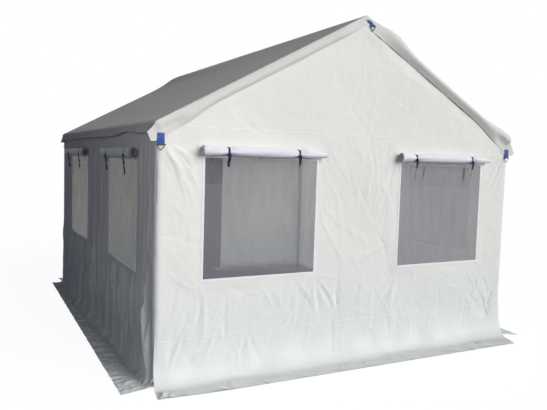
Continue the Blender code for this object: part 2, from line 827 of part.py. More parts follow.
def make_legs(finish):
    """A leg on each corner, round at the top about its hinge pin, welded to a foot plate."""
    sides = 2 * END_STEPS
    top = [
        (LEG_X + HALF_TUBE * math.cos(math.pi * k / sides), PIN_Z + HALF_TUBE * math.sin(math.pi * k / sides))
        for k in range(sides + 1)
    ]
    outline = [*top, (LEG_X - HALF_TUBE, FOOT_PLATE / 2), (LEG_X + HALF_TUBE, FOOT_PLATE / 2)]
    tube = prism(outline, ARCH_Y - HALF_TUBE, ARCH_Y + HALF_TUBE, side_on)
    edge = HALF_TUBE + FOOT_EDGE
    inner_x = LEG_X + edge - FOOT_SIDE
    inner_y = ARCH_Y + edge - FOOT_SIDE
    outline = [
        (inner_x + FOOT_CORNER, inner_y),
        (LEG_X + edge, inner_y),
        (LEG_X + edge, ARCH_Y + edge),
        (inner_x, ARCH_Y + edge),
        (inner_x, inner_y + FOOT_CORNER),
    ]
    plate = prism(outline, 0.0, FOOT_PLATE, in_place)
    bore_half = HALF_TUBE - TUBE_WALL
    bore = prism(
        rectangle(LEG_X - bore_half, ARCH_Y - bore_half, LEG_X + bore_half, ARCH_Y + bore_half),
        2 * FOOT_PLATE,
        PIN_Z + TUBE,
        in_place,
    )
    hole = prism(
        circle((LEG_X, PIN_Z), PIN_RADIUS + PIN_CLEARANCE), ARCH_Y - TUBE, ARCH_Y + TUBE, side_on
    )
    leg = combined(combined(tube, [plate], "UNION"), [bore, hole], "DIFFERENCE")
    for end_label, end in ENDS.items():
        for label, side in SIDES.items():
            origin = (side * LEG_X, end * ARCH_Y, PIN_Z)
            new_object(f"{end_label}_{label}_leg", mirrored(leg, side, end), finish, origin)


# Scissor chains


def make_scissors(finish):
    """Two crossed bars for each cross, in two layers about the middle plane of the slope."""
    radius = BAR_WIDTH / 2
    for label, side in SIDES.items():
        place = slope_place(side)
        for k in range(CROSSES):
            near = -PIVOT_Y + k * CROSS_PITCH
            far = near + CROSS_PITCH
            middle = (TOP_PIVOT + SPREAD / 2, (near + far) / 2)
            ends = {
                "falling": ((TOP_PIVOT, near), (TOP_PIVOT + SPREAD, far)),
                "rising": ((TOP_PIVOT + SPREAD, near), (TOP_PIVOT, far)),
            }
            for kind, (start, end) in ends.items():
                upper = kind == "falling"
                mesh = riveted(rounded_bar(start, end, radius), upper, place, [start, middle, end])
                pivot = bar_pivot(kind, k, start, middle)
                origin = place(*pivot, 0.0)
                new_object(f"{label}_{kind}_bar_{k + 1}", mesh, finish, origin)


def bar_pivot(kind, k, start, middle):
    """The pivot on which a bar hangs: its first end or its middle, as the chain runs from the front arch."""
    if kind == "falling":
        return middle if k == 1 else start
    return start if k == 1 else middle


def make_sliders(finish):
    """Sleeves that run on the rafters, each with a lug for the low end of a chain."""
    low_pivot = TOP_PIVOT + SPREAD
    bore = HALF_TUBE + SLIDER_CLEARANCE
    outer = bore + SLIDER_WALL
    for end_label, end in ENDS.items():
        y = end * ARCH_Y
        for label, side in SIDES.items():
            place = slope_place(side)

            def along_rafter(across, out, down, place=place):
                return place(down, across, out)

            square = rectangle(y - outer, -outer, y + outer, outer)
            hollow = rectangle(y - bore, -bore, y + bore, bore)
            start = low_pivot - SLIDER_LENGTH / 2
            sleeve = prism(square, start, start + SLIDER_LENGTH, along_rafter, holes=[hollow])
            foot = y - end * (outer - SLIDER_WALL / 2)
            pivot = (low_pivot, end * PIVOT_Y)
            lug = riveted(lug_outline(low_pivot, end, foot), end < 0, place, [pivot])
            mesh = combined(sleeve, [lug], "UNION")
            new_object(f"{end_label}_{label}_slider", mesh, finish, place(*pivot, 0.0))


# Tabs and rings


def tab_profile(length):
    """Side view of a webbing tab: (outward, height above the eye's middle), with the eye's outline below."""
    back = TAB_EYE
    front = back - TAB_THICKNESS
    start = math.acos(front / TAB_EYE)
    turn = 2 * math.pi - start
    steps = 2 * END_STEPS
    arc = [
        (TAB_EYE * math.cos(turn * k / steps), -TAB_EYE * math.sin(turn * k / steps))
        for k in range(steps + 1)
    ]
    return [(back, length), *arc, (front, length)]


def make_tab(name, middle, width, length, lean, end, finish):
    """A webbing tab sewn to the folded band, with its hem wrapped round the ring's bar."""
    back_y = HALF_LENGTH + 2 * SEAT_GAP + CLOTH
    eye_y = end * (back_y + TAB_EYE)
    profile = tab_profile(length)
    hole = circle((0.0, 0.0), RING_WIRE + RING_CLEARANCE)

    def place(back, up, across):
        shear = lean * max(up - TAB_EYE, 0.0)
        return Vector((middle[0] + across - shear, eye_y - end * back, middle[1] + up))

    return new_object(name, prism(profile, -width / 2, width / 2, place, holes=[hole]), finish)


def make_ring(name, middle, width, end, finish):
    """A triangular wire ring hung by its top bar in a tab's eye."""
    y = end * (HALF_LENGTH + 2 * SEAT_GAP + CLOTH + TAB_EYE)
    half = width / 2 + RING_SIDE_PLAY
    corners = [(-half, 0.0), (half, 0.0), (0.0, -RING_DROP)]
    points = []
    for k, here in enumerate(corners):
        here = Vector(here)
        before = (Vector(corners[k - 1]) - here).normalized()
        after = (Vector(corners[(k + 1) % 3]) - here).normalized()
        for share in (0.0, 0.5, 1.0):
            chord = (before * (1 - share) + after * share) * RING_CORNER
            points.append(here + chord * (1 - 0.5 * math.sin(math.pi * share)))
    curve = bpy.data.curves.new(name, "CURVE")
    curve.dimensions = "3D"
    curve.bevel_depth = RING_WIRE
    curve.bevel_resolution = 1
    spline = curve.splines.new("POLY")
    spline.use_cyclic_u = True
    spline.points.add(len(points) - 1)
    for point, (x, z) in zip(spline.points, points):
        point.co = (x, 0.0, z, 1.0)
    obj = bpy.data.objects.new(name, curve)
    obj.location = (middle[0], y, middle[1])
    bpy.context.scene.collection.objects.link(obj)
    return paint(obj, finish)


def make_tabs_and_rings(webbing, wire):
    corner_x = HALF_WIDTH - TAB_WIDTH / 2 - 2 * CLOTH
    corner_z = EAVE_HEIGHT - TAB_HANG
    peak = (PEAK_TAB_SHIFT, roof_outside(PEAK_TAB_SHIFT) - PEAK_TAB_DROP)
    for label, end in ENDS.items():
        places = {
            "left": ((-corner_x, corner_z), TAB_WIDTH, TAB_LENGTH, 0.0),
            "peak": (peak, PEAK_TAB_WIDTH, PEAK_TAB_LENGTH, PEAK_TAB_LEAN),
            "right": ((corner_x, corner_z), TAB_WIDTH, TAB_LENGTH, 0.0),
        }
        for where, (middle, width, length, lean) in places.items():
            make_tab(f"{label}_{where}_tab", middle, width, length, lean, end, webbing)
            make_ring(f"{label}_{where}_ring", middle, width, end, wire)


def build():
    clear_scene()
    cover = material("cover_cloth", (0.72, 0.73, 0.70), 0.75)
    net = material("window_net", (0.22, 0.22, 0.24), 0.85)
    roll = material("rolled_cloth", (0.80, 0.78, 0.84), 0.70)
    tube = material("arch_tube", (0.62, 0.63, 0.64), 0.35, 1.0)
    cast = material("cast_fitting", (0.35, 0.36, 0.37), 0.50, 1.0)
    bar = material("scissor_bar", (0.66, 0.67, 0.68), 0.32, 1.0)
    webbing = material("blue_webbing", (0.045, 0.09, 0.26), 0.80)
    wire = material("ring_wire", (0.06, 0.06, 0.07), 0.40, 1.0)
    make_roof(cover)
    make_front_wall(cover)
    make_rear_wall(cover)
    for label, side in SIDES.items():
        make_side_wall(f"{label}_wall", side, cover)
        make_side_flap(f"{label}_mud_flap", side, cover)
    make_windows(net, roll)
    make_door_roll(roll)
    make_ridge_brackets(cast)
    make_rafters(tube)
    make_legs(tube)
    make_scissors(bar)
    make_sliders(cast)
    make_tabs_and_rings(webbing, wire)


build()
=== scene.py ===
import math

import bmesh
import bpy
import numpy as np
from mathutils import Matrix, Vector


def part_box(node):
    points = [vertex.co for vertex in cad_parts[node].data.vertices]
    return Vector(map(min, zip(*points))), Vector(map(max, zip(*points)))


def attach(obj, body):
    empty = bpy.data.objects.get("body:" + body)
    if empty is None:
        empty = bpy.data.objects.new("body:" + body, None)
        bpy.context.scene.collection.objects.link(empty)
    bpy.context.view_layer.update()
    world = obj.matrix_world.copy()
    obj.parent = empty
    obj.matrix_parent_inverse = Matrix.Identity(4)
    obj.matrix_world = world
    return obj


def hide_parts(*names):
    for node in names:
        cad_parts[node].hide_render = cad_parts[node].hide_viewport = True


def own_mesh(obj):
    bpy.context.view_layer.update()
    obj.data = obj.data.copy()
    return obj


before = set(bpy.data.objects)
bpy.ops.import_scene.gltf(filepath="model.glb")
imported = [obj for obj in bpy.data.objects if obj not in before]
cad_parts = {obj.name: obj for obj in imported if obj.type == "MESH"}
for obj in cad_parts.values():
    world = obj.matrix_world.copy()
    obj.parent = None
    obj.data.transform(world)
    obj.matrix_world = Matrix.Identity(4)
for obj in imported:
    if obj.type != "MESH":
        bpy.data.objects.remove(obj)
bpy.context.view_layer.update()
print("frame loaded")

# What every cloth piece is cut from (metres)
shelter = {
    "width": 3.60,
    "length": 4.00,
    "eave": 1.945,
    "ridge": 2.925,
    "cloth": 0.0012,  # shown thickness
    "skin": 0.0024,  # room that the cloth has in the frame
    "foldedTo": 0.144,  # share of its length that the cover keeps when the frame is folded
    "cornerRound": 0.045,  # how the walls turn towards each other at a corner
    "cornerTurn": 0.75,  # radians that they turn by there
}
halfWidth = shelter["width"] / 2
halfLength = shelter["length"] / 2
risePerRun = (shelter["ridge"] - shelter["eave"]) / halfWidth
pitch = math.atan(risePerRun)
sides = {"left": -1, "right": 1}
ends = {"front": -1, "rear": 1}


# Small helpers

meshing = {
    "weld": 1e-6,  # points nearer than this become one
    "clothEdge": math.radians(60),  # turns from which an edge is shown sharp
    "tapeEdge": math.radians(50),
    "bindingEdge": math.radians(35),
    "tapeThin": 0.6,  # a tape's thickness at its edges, as a share of that in its middle
}


def ease(low, high, value):
    # 0 up to low and 1 from high, smooth between; with low above high it falls instead
    share = np.clip((np.asarray(value, float) - low) / (high - low), 0.0, 1.0)
    return share * share * (3 - 2 * share)


def hill(value, middle, reach):
    return np.exp(-(((value - middle) / reach) ** 2))


def steps(breaks, size):
    # points from break to break, none further apart than size
    points = [breaks[0]]
    for start, end in zip(breaks, breaks[1:]):
        count = max(1, math.ceil((end - start) / size - 1e-9))
        points += [start + (end - start) * k / count for k in range(1, count + 1)]
    return points


def addObject(name, mesh, finish):
    obj = bpy.data.objects.new(name, mesh)
    bpy.context.scene.collection.objects.link(obj)
    if finish:
        mesh.materials.append(finish)
    return obj


def meshOf(name, bm):
    mesh = bpy.data.meshes.new(name)
    bm.to_mesh(mesh)
    bm.free()
    return mesh


def gridMesh(name, points, facing, skip=None):
    # points is an array of rows, columns and x y z
    bm = bmesh.new()
    countU, countV = points.shape[:2]
    made = {}

    def vert(i, j):
        if (i, j) not in made:
            made[i, j] = bm.verts.new(points[i, j])
        return made[i, j]

    for i in range(countU - 1):
        for j in range(countV - 1):
            if skip is None or not skip[i, j]:
                bm.faces.new((vert(i, j), vert(i + 1, j), vert(i + 1, j + 1), vert(i, j + 1)))
    bmesh.ops.remove_doubles(bm, verts=bm.verts, dist=meshing["weld"])
    bm.normal_update()
    if sum(face.normal.dot(Vector(facing)) * face.calc_area() for face in bm.faces) < 0:
        bmesh.ops.reverse_faces(bm, faces=bm.faces)
    mesh = meshOf(name, bm)
    mesh.shade_smooth()
    return mesh


def bridge(bm, rings):
    # faces between each ring of points and the next
    for before, after in zip(rings, rings[1:]):
        for c in range(len(before)):
            d = (c + 1) % len(before)
            bm.faces.new((before[c], before[d], after[d], after[c]))


def thicken(obj):
    # cloth with two faces and a cut edge, kept crisp where it turns sharply
    layer = obj.modifiers.new("thickness", "SOLIDIFY")
    layer.thickness = shelter["cloth"]
    layer.offset = -1
    layer.use_even_offset = False
    graph = bpy.context.evaluated_depsgraph_get()
    mesh = bpy.data.meshes.new_from_object(obj.evaluated_get(graph))
    obj.modifiers.clear()
    obj.data = mesh
    mesh.name = obj.name
    mesh.shade_smooth()
    mesh.set_sharp_from_angle(angle=meshing["clothEdge"])
    return obj


def ribbon(name, path, across, depth, finish, smooth=True):
    # a flat tape along a path; across holds half the tape's width as a vector at each point
    path = [Vector(p) for p in path]
    across = [Vector(a) for a in across]
    thin = meshing["tapeThin"]
    section = [(-1, -thin), (0, -1), (1, -thin), (1, thin), (0, 1), (-1, thin)]
    bm = bmesh.new()
    rings = []
    for k, here in enumerate(path):
        along = (path[min(k + 1, len(path) - 1)] - path[max(k - 1, 0)]).normalized()
        out = along.cross(across[k].normalized()).normalized() * depth / 2
        rings.append([bm.verts.new(here + (across[k] * aside + out * off)) for aside, off in section])
    bridge(bm, rings)
    bm.faces.new(rings[0])
    bm.faces.new(rings[-1])
    bmesh.ops.recalc_face_normals(bm, faces=bm.faces)
    mesh = meshOf(name, bm)
    if smooth:
        mesh.shade_smooth()
        mesh.set_sharp_from_angle(angle=meshing["tapeEdge"])
    return addObject(name, mesh, finish)


def joined(name, parts):
    # several objects made one, each part keeping its finish
    bm = bmesh.new()
    finishes = []
    for part in parts:
        finish = part.data.materials[0]
        if finish not in finishes:
            finishes.append(finish)
        before = len(bm.faces)
        bm.from_mesh(part.data)
        bm.faces.ensure_lookup_table()
        for face in bm.faces[before:]:
            face.material_index = finishes.index(finish)
    mesh = meshOf(name, bm)
    for part in parts:
        bpy.data.objects.remove(part, do_unlink=True)
    obj = addObject(name, mesh, None)
    for finish in finishes:
        mesh.materials.append(finish)
    mesh.set_sharp_from_angle(angle=meshing["tapeEdge"])
    return obj


def foldWithFrame(obj):
    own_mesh(obj)


def turnedIn(along, half, upright):
    # how far a wall's edge is drawn along and back where it turns round the corner
    radius = shelter["cornerRound"]
    turn = np.clip((np.abs(along) - (half - radius)) / radius, 0.0, shelter["cornerTurn"])
    inward = np.maximum(np.abs(along) - (half - radius), 0.0) - radius * np.sin(turn)
    return inward * np.sign(along) * upright, radius * (1 - np.cos(turn)) * upright


# Folds and creases of cloth, as heights over the flat sheet

creasing = {
    "waves": 9,  # how many waves lie over each other in a ripple
    "waveLengths": (0.7, 1.6),  # their lengths, as shares of the ripple's size
    "blunt": 0.7,  # how a crease dies out at its ends
    "endWidth": 0.45,  # its width there, as a share of that in its middle
    "sharp": 2.2,
    "fanStarts": (0.02, 0.10),  # how far from the held place a crease of a fan starts
    "fanReaches": (0.45, 1.0),
    "fanBow": 0.05,
    "fan": {"widths": (0.6, 1.4), "heights": (0.5, 1.2), "signs": (1, -0.8)},
    "strew": {"widths": (0.6, 1.5), "heights": (0.4, 1.2), "signs": (1, -1)},
}


def ripples(a, b, seed, size):
    draw = np.random.default_rng(seed)
    total = np.zeros_like(a)
    for wave in range(creasing["waves"]):
        turn = draw.uniform(0, math.pi)
        rate = 2 * math.pi / (size * draw.uniform(*creasing["waveLengths"]))
        phase = draw.uniform(0, 2 * math.pi)
        total += np.sin(rate * (a * math.cos(turn) + b * math.sin(turn)) + phase)
    return total / math.sqrt(creasing["waves"])


def creaseHeights(a, b, creases):
    # each crease is (a0, b0, a1, b1, width, height, bow)
    total = np.zeros_like(a)
    for a0, b0, a1, b1, width, height, bow in creases:
        length = math.hypot(a1 - a0, b1 - b0)
        ua, ub = (a1 - a0) / length, (b1 - b0) / length
        along = ((a - a0) * ua + (b - b0) * ub) / length
        near = (along > 0) & (along < 1)
        t = along[near]
        away = (b[near] - b0) * ua - (a[near] - a0) * ub - bow * np.sin(math.pi * t)
        taper = np.sin(math.pi * t) ** creasing["blunt"]
        spread = width * (creasing["endWidth"] + (1 - creasing["endWidth"]) * taper)
        total[near] += height * taper * np.exp(1 - np.sqrt(1 + (away / spread * creasing["sharp"]) ** 2))
    return total


def drawCrease(draw, kind, middle, turn, reaches, width, height, bow):
    # one crease through a place, from the first reach to the second
    way = (math.cos(turn), math.sin(turn))
    ends = [m + reach * w for reach in reaches for m, w in zip(middle, way)]
    spread = creasing[kind]
    return (
        *ends, width * draw.uniform(*spread["widths"]),
        height * draw.uniform(*spread["heights"]) * draw.choice(spread["signs"]),
        bow * draw.uniform(-1, 1),
    )


def fan(seed, centre, turns, reach, count, width, height):
    # creases that run out from a place where the cloth is held
    draw = np.random.default_rng(seed)
    found = []
    for k in range(count):
        turn = math.radians(turns[0] + (turns[1] - turns[0]) * (k + draw.uniform(0.1, 0.9)) / count)
        start = draw.uniform(*creasing["fanStarts"])
        end = start + reach * draw.uniform(*creasing["fanReaches"])
        found.append(drawCrease(draw, "fan", centre, turn, (start, end), width, height, creasing["fanBow"]))
    return found


def strew(seed, low, high, turns, lengths, count, width, height, bow=0.03):
    # creases strewn over a part of the sheet
    draw = np.random.default_rng(seed)
    found = []
    for k in range(count):
        middle = (draw.uniform(low[0], high[0]), draw.uniform(low[1], high[1]))
        turn = math.radians(draw.uniform(*turns))
        half = draw.uniform(*lengths) / 2
        found.append(drawCrease(draw, "strew", middle, turn, (-half, half), width, height, bow))
    return found


def heldAround(a, b, openings, sill, head, reach):
    # 0 at the openings' edges and 1 well away from them
    away = np.ones_like(a)
    for left, right in openings:
        beside = np.maximum(np.maximum(left - a, a - right), 0.0)
        above = np.maximum(np.maximum(sill - b, b - head), 0.0)
        away = np.minimum(away, ease(*reach, np.hypot(beside, above)))
    return away


def openCells(columns, heights, openings, sill, head):
    # which cells of a wall's grid lie in an opening
    middles = (columns[:-1] + columns[1:]) / 2
    return np.array([[sill < b < head and any(left < a < right for left, right in openings) for b in heights]
                     for a in middles])


# Finishes

def shaderOf(name, colour, roughness, metallic=0.0, specular=0.5):
    made = bpy.data.materials.new(name)
    made.use_nodes = True
    shader = made.node_tree.nodes["Principled BSDF"]
    shader.inputs["Base Color"].default_value = (*colour, 1.0)
    shader.inputs["Roughness"].default_value = roughness
    shader.inputs["Metallic"].default_value = metallic
    shader.inputs["Specular IOR Level"].default_value = specular
    return made, made.node_tree, shader


def addNode(tree, kind, settings=None, inputs=None, links=None):
    made = tree.nodes.new(kind)
    for key, value in (settings or {}).items():
        setattr(made, key, value)
    for key, value in (inputs or {}).items():
        made.inputs[key].default_value = value
    for key, socket in (links or {}).items():
        tree.links.new(socket, made.inputs[key])
    return made


def math2(tree, operation, first, second=None, clamp=False):
    made = tree.nodes.new("ShaderNodeMath")
    made.operation = operation
    made.use_clamp = clamp
    for k, value in enumerate((first, second)):
        if value is None:
            continue
        if isinstance(value, (int, float)):
            made.inputs[k].default_value = value
        else:
            tree.links.new(value, made.inputs[k])
    return made.outputs[0]


def mixColour(tree, share, first, second):
    made = tree.nodes.new("ShaderNodeMix")
    made.data_type = "RGBA"
    for k, value in ((0, share), (6, first), (7, second)):
        if isinstance(value, (int, float)):
            made.inputs[k].default_value = value
        elif isinstance(value, tuple):
            made.inputs[k].default_value = (*value, 1.0)
        else:
            tree.links.new(value, made.inputs[k])
    return made.outputs[2]


def objectPoint(tree):
    point = addNode(tree, "ShaderNodeTexCoord").outputs["Object"]
    split = addNode(tree, "ShaderNodeSeparateXYZ", links={0: point})
    return point, split.outputs


def noiseOf(tree, point, scale, detail=4.0, roughness=0.55, distortion=0.0):
    inputs = {"Scale": scale, "Detail": detail, "Roughness": roughness, "Distortion": distortion}
    return addNode(tree, "ShaderNodeTexNoise", None, inputs, {"Vector": point}).outputs["Fac"]


def cellsOf(tree, point, scale, feature="F1"):
    made = addNode(tree, "ShaderNodeTexVoronoi", {"feature": feature}, {"Scale": scale}, {"Vector": point})
    return made.outputs[0]


def rampOf(tree, value, between, to=(0.0, 1.0), kind="LINEAR"):
    inputs = {"From Min": between[0], "From Max": between[1], "To Min": to[0], "To Max": to[1]}
    made = addNode(tree, "ShaderNodeMapRange", {"interpolation_type": kind}, inputs, {"Value": value})
    return made.outputs[0]


def weaveOf(tree, xyz, threads):
    # crossing threads along the three axes; threads is how many there are in a metre
    total = None
    for axis in xyz:
        wave = math2(tree, "SINE", math2(tree, "MULTIPLY", axis, 2 * math.pi * threads))
        total = wave if total is None else math2(tree, "ADD", total, wave)
    return total


def bumpOf(tree, height, strength, distance, under=None):
    links = {"Height": height}
    if under is not None:
        links["Normal"] = under
    made = addNode(tree, "ShaderNodeBump", None, {"Strength": strength, "Distance": distance}, links)
    return made.outputs[0]


coverFinish = {
    "colour": (0.795, 0.797, 0.757),
    "lowShadeColour": (0.715, 0.755, 0.757),  # painted shade: cooler and a little darker towards the ground
    "lowBetween": (0.95, 0.25),  # heights between which it turns to that
    "blotchDim": 0.94,
    "soil": (0.50, 0.49, 0.44),
    "soilBetween": (0.16, 0.0),
    "soilMost": 0.55,
    # painted shade on the side walls: a bluer tint over all of their cloth
    "sideShadeTint": (0.985, 0.99, 1.025),
    "sideLowShade": 0.90,  # the side walls' painted low shade is darker by this
    # painted shade: the roof's copy of the cloth is darker
    "roofShadeTint": (0.86, 0.86, 0.86),
    "crumpled": {"side": 0.25, "gable": 0.12, "roof": 0.07},
    "threads": 420,
    "roughness": (0.62, 0.80),
    # painted highlight along the gables' seams
    "seamHighlight": (0.87, 0.87, 0.85),
    "seamHalf": 0.0060,
    "seamWander": 0.012,
    "seams": (1.915, 0.33),  # heights of the gables' seams
    "lineScale": 3.4,  # sharp crease lines: how close, where, how wide and how deep
    "lineWhere": (0.50, 0.66),
    "lineWidth": 0.055,
    "lineDepth": 2.6,
    "lineHigh": 0.35,  # share of them that is left above the painted low shade
}


def seamPulse(tree, height, at, half):
    away = math2(tree, "ABSOLUTE", math2(tree, "SUBTRACT", height, at))
    return math2(tree, "MULTIPLY", math2(tree, "SUBTRACT", half, away), 2 / half, clamp=True)


def seamLines(tree, point, xyz):
    wander = coverFinish["seamWander"]
    wobble = math2(tree, "MULTIPLY", noiseOf(tree, point, 1.3, 1.0), wander)
    level = math2(tree, "ADD", xyz[2], math2(tree, "SUBTRACT", wobble, wander / 2))
    half = coverFinish["seamHalf"]
    upper, lower = coverFinish["seams"]
    across = math2(tree, "MAXIMUM", seamPulse(tree, level, upper, half), seamPulse(tree, level, lower, half))
    above = math2(tree, "GREATER_THAN", level, upper)
    middle = math2(tree, "MULTIPLY", seamPulse(tree, xyz[0], 0.0, half), above)
    return math2(tree, "MAXIMUM", across, middle)


def coverCloth(name, crumpled, seamed=False, tint=(1.0, 1.0, 1.0), lower=1.0):
    # tint and lower paint shade into a copy of the cloth: bluer and darker low on the side walls, darker all
    # over on the roof
    colour = tuple(c * t for c, t in zip(coverFinish["colour"], tint))
    lowShadeColour = tuple(c * t * lower for c, t in zip(coverFinish["lowShadeColour"], tint))
    made, tree, shader = shaderOf(name, colour, 0.7, specular=0.0)
    point, xyz = objectPoint(tree)
    blotch = noiseOf(tree, point, 1.7, 3.0)
    fine = noiseOf(tree, point, 23.0, 6.0, 0.6)
    # painted shade: the cloth turns to the cooler, darker low colour towards the ground
    low = rampOf(tree, xyz[2], coverFinish["lowBetween"])
    base = mixColour(tree, low, colour, lowShadeColour)
    dimmer = tuple(c * coverFinish["blotchDim"] for c in colour)
    base = mixColour(tree, math2(tree, "MULTIPLY", blotch, 0.5, clamp=True), base, dimmer)
    foot = rampOf(tree, xyz[2], coverFinish["soilBetween"], (0.0, coverFinish["soilMost"]))
    soiled = math2(tree, "MULTIPLY", foot, math2(tree, "MULTIPLY", fine, blotch), clamp=True)
    base = mixColour(tree, soiled, base, coverFinish["soil"])
    normal = bumpOf(tree, weaveOf(tree, xyz, coverFinish["threads"]), 0.10, 0.0003)
    if seamed:
        # painted highlight: the seams are drawn as paler, patchy lines where their ridges would catch the
        # light
        folded = seamLines(tree, point, xyz)
        wearAndHighlight = math2(tree, "ADD", 0.10, math2(tree, "MULTIPLY", blotch, 0.6))
        base = mixColour(tree, math2(tree, "MULTIPLY", folded, wearAndHighlight), base, coverFinish["seamHighlight"])
        normal = bumpOf(tree, folded, 1.0, 0.0012, normal)
    tree.links.new(base, shader.inputs["Base Color"])
    tree.links.new(rampOf(tree, fine, (0.3, 0.7), coverFinish["roughness"]), shader.inputs["Roughness"])
    # crumples as flat facets with ridges between them
    drift = addNode(tree, "ShaderNodeTexNoise", None, {"Scale": 2.6, "Detail": 2.0}, {"Vector": point})
    pushed = addNode(tree, "ShaderNodeVectorMath", {"operation": "SCALE"}, {"Scale": 0.25},
                     {0: drift.outputs["Color"]}).outputs[0]
    bent = addNode(tree, "ShaderNodeVectorMath", {"operation": "ADD"}, None, {0: point, 1: pushed}).outputs[0]
    kink = noiseOf(tree, point, 6.0, 5.0, 0.62, 1.2)
    # sharp crease lines, more of them towards the ground
    web = cellsOf(tree, bent, coverFinish["lineScale"], "DISTANCE_TO_EDGE")
    line = rampOf(tree, web, (0.0, coverFinish["lineWidth"]), (1.0, 0.0), "SMOOTHSTEP")
    often = rampOf(tree, noiseOf(tree, point, 3.6, 2.0), coverFinish["lineWhere"])
    high = coverFinish["lineHigh"]
    often = math2(tree, "MULTIPLY", often, math2(tree, "ADD", math2(tree, "MULTIPLY", low, 1 - high), high))
    lines = math2(tree, "MULTIPLY", line, often)
    normal = bumpOf(tree, lines, crumpled * coverFinish["lineDepth"], 0.0035, normal)
    normal = bumpOf(tree, fine, 0.18, 0.0012, normal)
    normal = bumpOf(tree, math2(tree, "ADD", cellsOf(tree, bent, 5.5), kink), crumpled, 0.030, normal)
    normal = bumpOf(tree, cellsOf(tree, bent, 14.0), crumpled, 0.010, normal)
    tree.links.new(normal, shader.inputs["Normal"])
    return made


netFinish = {
    "threads": 330,
    "cover": 0.48,  # how much of the view a net takes, and how that changes over its threads and blotches
    "coverThreads": 0.035,
    "coverBlotch": 0.08,
    "colours": ((0.27, 0.27, 0.29), (0.22, 0.22, 0.235)),
}


def insectNet():
    # pale threads with open squares between them
    made, tree, shader = shaderOf("insectNet", (0.25, 0.25, 0.27), 0.8, specular=0.0)
    point, xyz = objectPoint(tree)
    weave = weaveOf(tree, xyz, netFinish["threads"])
    blotch = noiseOf(tree, point, 2.4, 3.0)
    seen = math2(tree, "ADD", math2(tree, "MULTIPLY", weave, netFinish["coverThreads"]), netFinish["cover"])
    seen = math2(tree, "ADD", seen, math2(tree, "MULTIPLY", blotch, netFinish["coverBlotch"]), clamp=True)
    tree.links.new(seen, shader.inputs["Alpha"])
    tree.links.new(mixColour(tree, blotch, *netFinish["colours"]), shader.inputs["Base Color"])
    tree.links.new(bumpOf(tree, weave, 0.15, 0.0004), shader.inputs["Normal"])
    return made


def rolledCloth(name, pale, shaded):
    made, tree, shader = shaderOf(name, pale, 0.6, specular=0.05)
    point, xyz = objectPoint(tree)
    blotch = noiseOf(tree, point, 9.0, 4.0)
    tree.links.new(mixColour(tree, blotch, pale, shaded), shader.inputs["Base Color"])
    normal = bumpOf(tree, weaveOf(tree, xyz, 420), 0.10, 0.0003)
    normal = bumpOf(tree, noiseOf(tree, point, 26.0, 5.0, 0.6, 0.8), 0.35, 0.003, normal)
    tree.links.new(normal, shader.inputs["Normal"])
    return made


def tapeFinish(name, colour, threads, roughness=0.8):
    made, tree, shader = shaderOf(name, colour, roughness, specular=0.3)
    point, xyz = objectPoint(tree)
    weave = weaveOf(tree, xyz, threads)
    blotch = noiseOf(tree, point, 60.0, 3.0)
    # real wear: paler flecks on the tape
    wearAndHighlight = tuple(min(c * 1.5 + 0.01, 1.0) for c in colour)
    tree.links.new(mixColour(tree, blotch, colour, wearAndHighlight), shader.inputs["Base Color"])
    tree.links.new(bumpOf(tree, weave, 0.5, 0.0005), shader.inputs["Normal"])
    return made


def metalFinish(name, colour, roughness, grain, stretch):
    made, tree, shader = shaderOf(name, colour, roughness, metallic=1.0)
    point = objectPoint(tree)[0]
    mapped = addNode(tree, "ShaderNodeMapping", links={"Vector": point}, inputs={"Scale": stretch}).outputs[0]
    lines = noiseOf(tree, mapped, grain, 5.0, 0.6)
    stain = noiseOf(tree, point, 6.0, 4.0)
    darker = tuple(c * 0.72 for c in colour)
    tree.links.new(mixColour(tree, stain, colour, darker), shader.inputs["Base Color"])
    rough = rampOf(tree, lines, (0.3, 0.7), (roughness - 0.08, roughness + 0.12))
    tree.links.new(rough, shader.inputs["Roughness"])
    tree.links.new(bumpOf(tree, lines, 0.2, 0.0004), shader.inputs["Normal"])
    return made


crumples = coverFinish["crumpled"]
# the side walls and the roof take shaded copies of the gables' cloth: painted shade
clothFinish = coverCloth("coverCloth", crumples["side"], tint=coverFinish["sideShadeTint"],
                         lower=coverFinish["sideLowShade"])
gableFinish = coverCloth("gableCloth", crumples["gable"], True)
# the roof's cloth is darker all over: painted shade
roofFinish = coverCloth("roofCloth", crumples["roof"], tint=coverFinish["roofShadeTint"])
netCloth = insectNet()
rollCloth = rolledCloth("rolledCloth", (0.81, 0.80, 0.85), (0.73, 0.72, 0.78))
# painted shade: the side walls' rolls are a darker, bluer copy of the rolled cloth
shadedSideRollCloth = rolledCloth("rolledSideCloth", (0.72, 0.73, 0.76), (0.55, 0.56, 0.62))
bindingTape = tapeFinish("bindingTape", (0.80, 0.79, 0.87), 600, 0.6)
tieTape = tapeFinish("tieTape", (0.006, 0.007, 0.045), 700)
webbing = tapeFinish("blueWebbing", (0.035, 0.075, 0.25), 500)
stitchThread = tapeFinish("stitchThread", (0.30, 0.36, 0.60), 900)
frameFinishes = {
    "arch_tube": metalFinish("millTube", (0.62, 0.63, 0.64), 0.34, 30.0, (1.0, 1.0, 0.15)),
    "cast_fitting": metalFinish("castFitting", (0.36, 0.37, 0.38), 0.52, 90.0, (1.0, 1.0, 1.0)),
    "scissor_bar": metalFinish("flatBar", (0.66, 0.67, 0.68), 0.30, 60.0, (1.0, 0.2, 1.0)),
    "ring_wire": metalFinish("darkWire", (0.06, 0.06, 0.07), 0.42, 120.0, (1.0, 1.0, 1.0)),
}
print("finishes made")


# Gable walls, each with its flap in one sheet

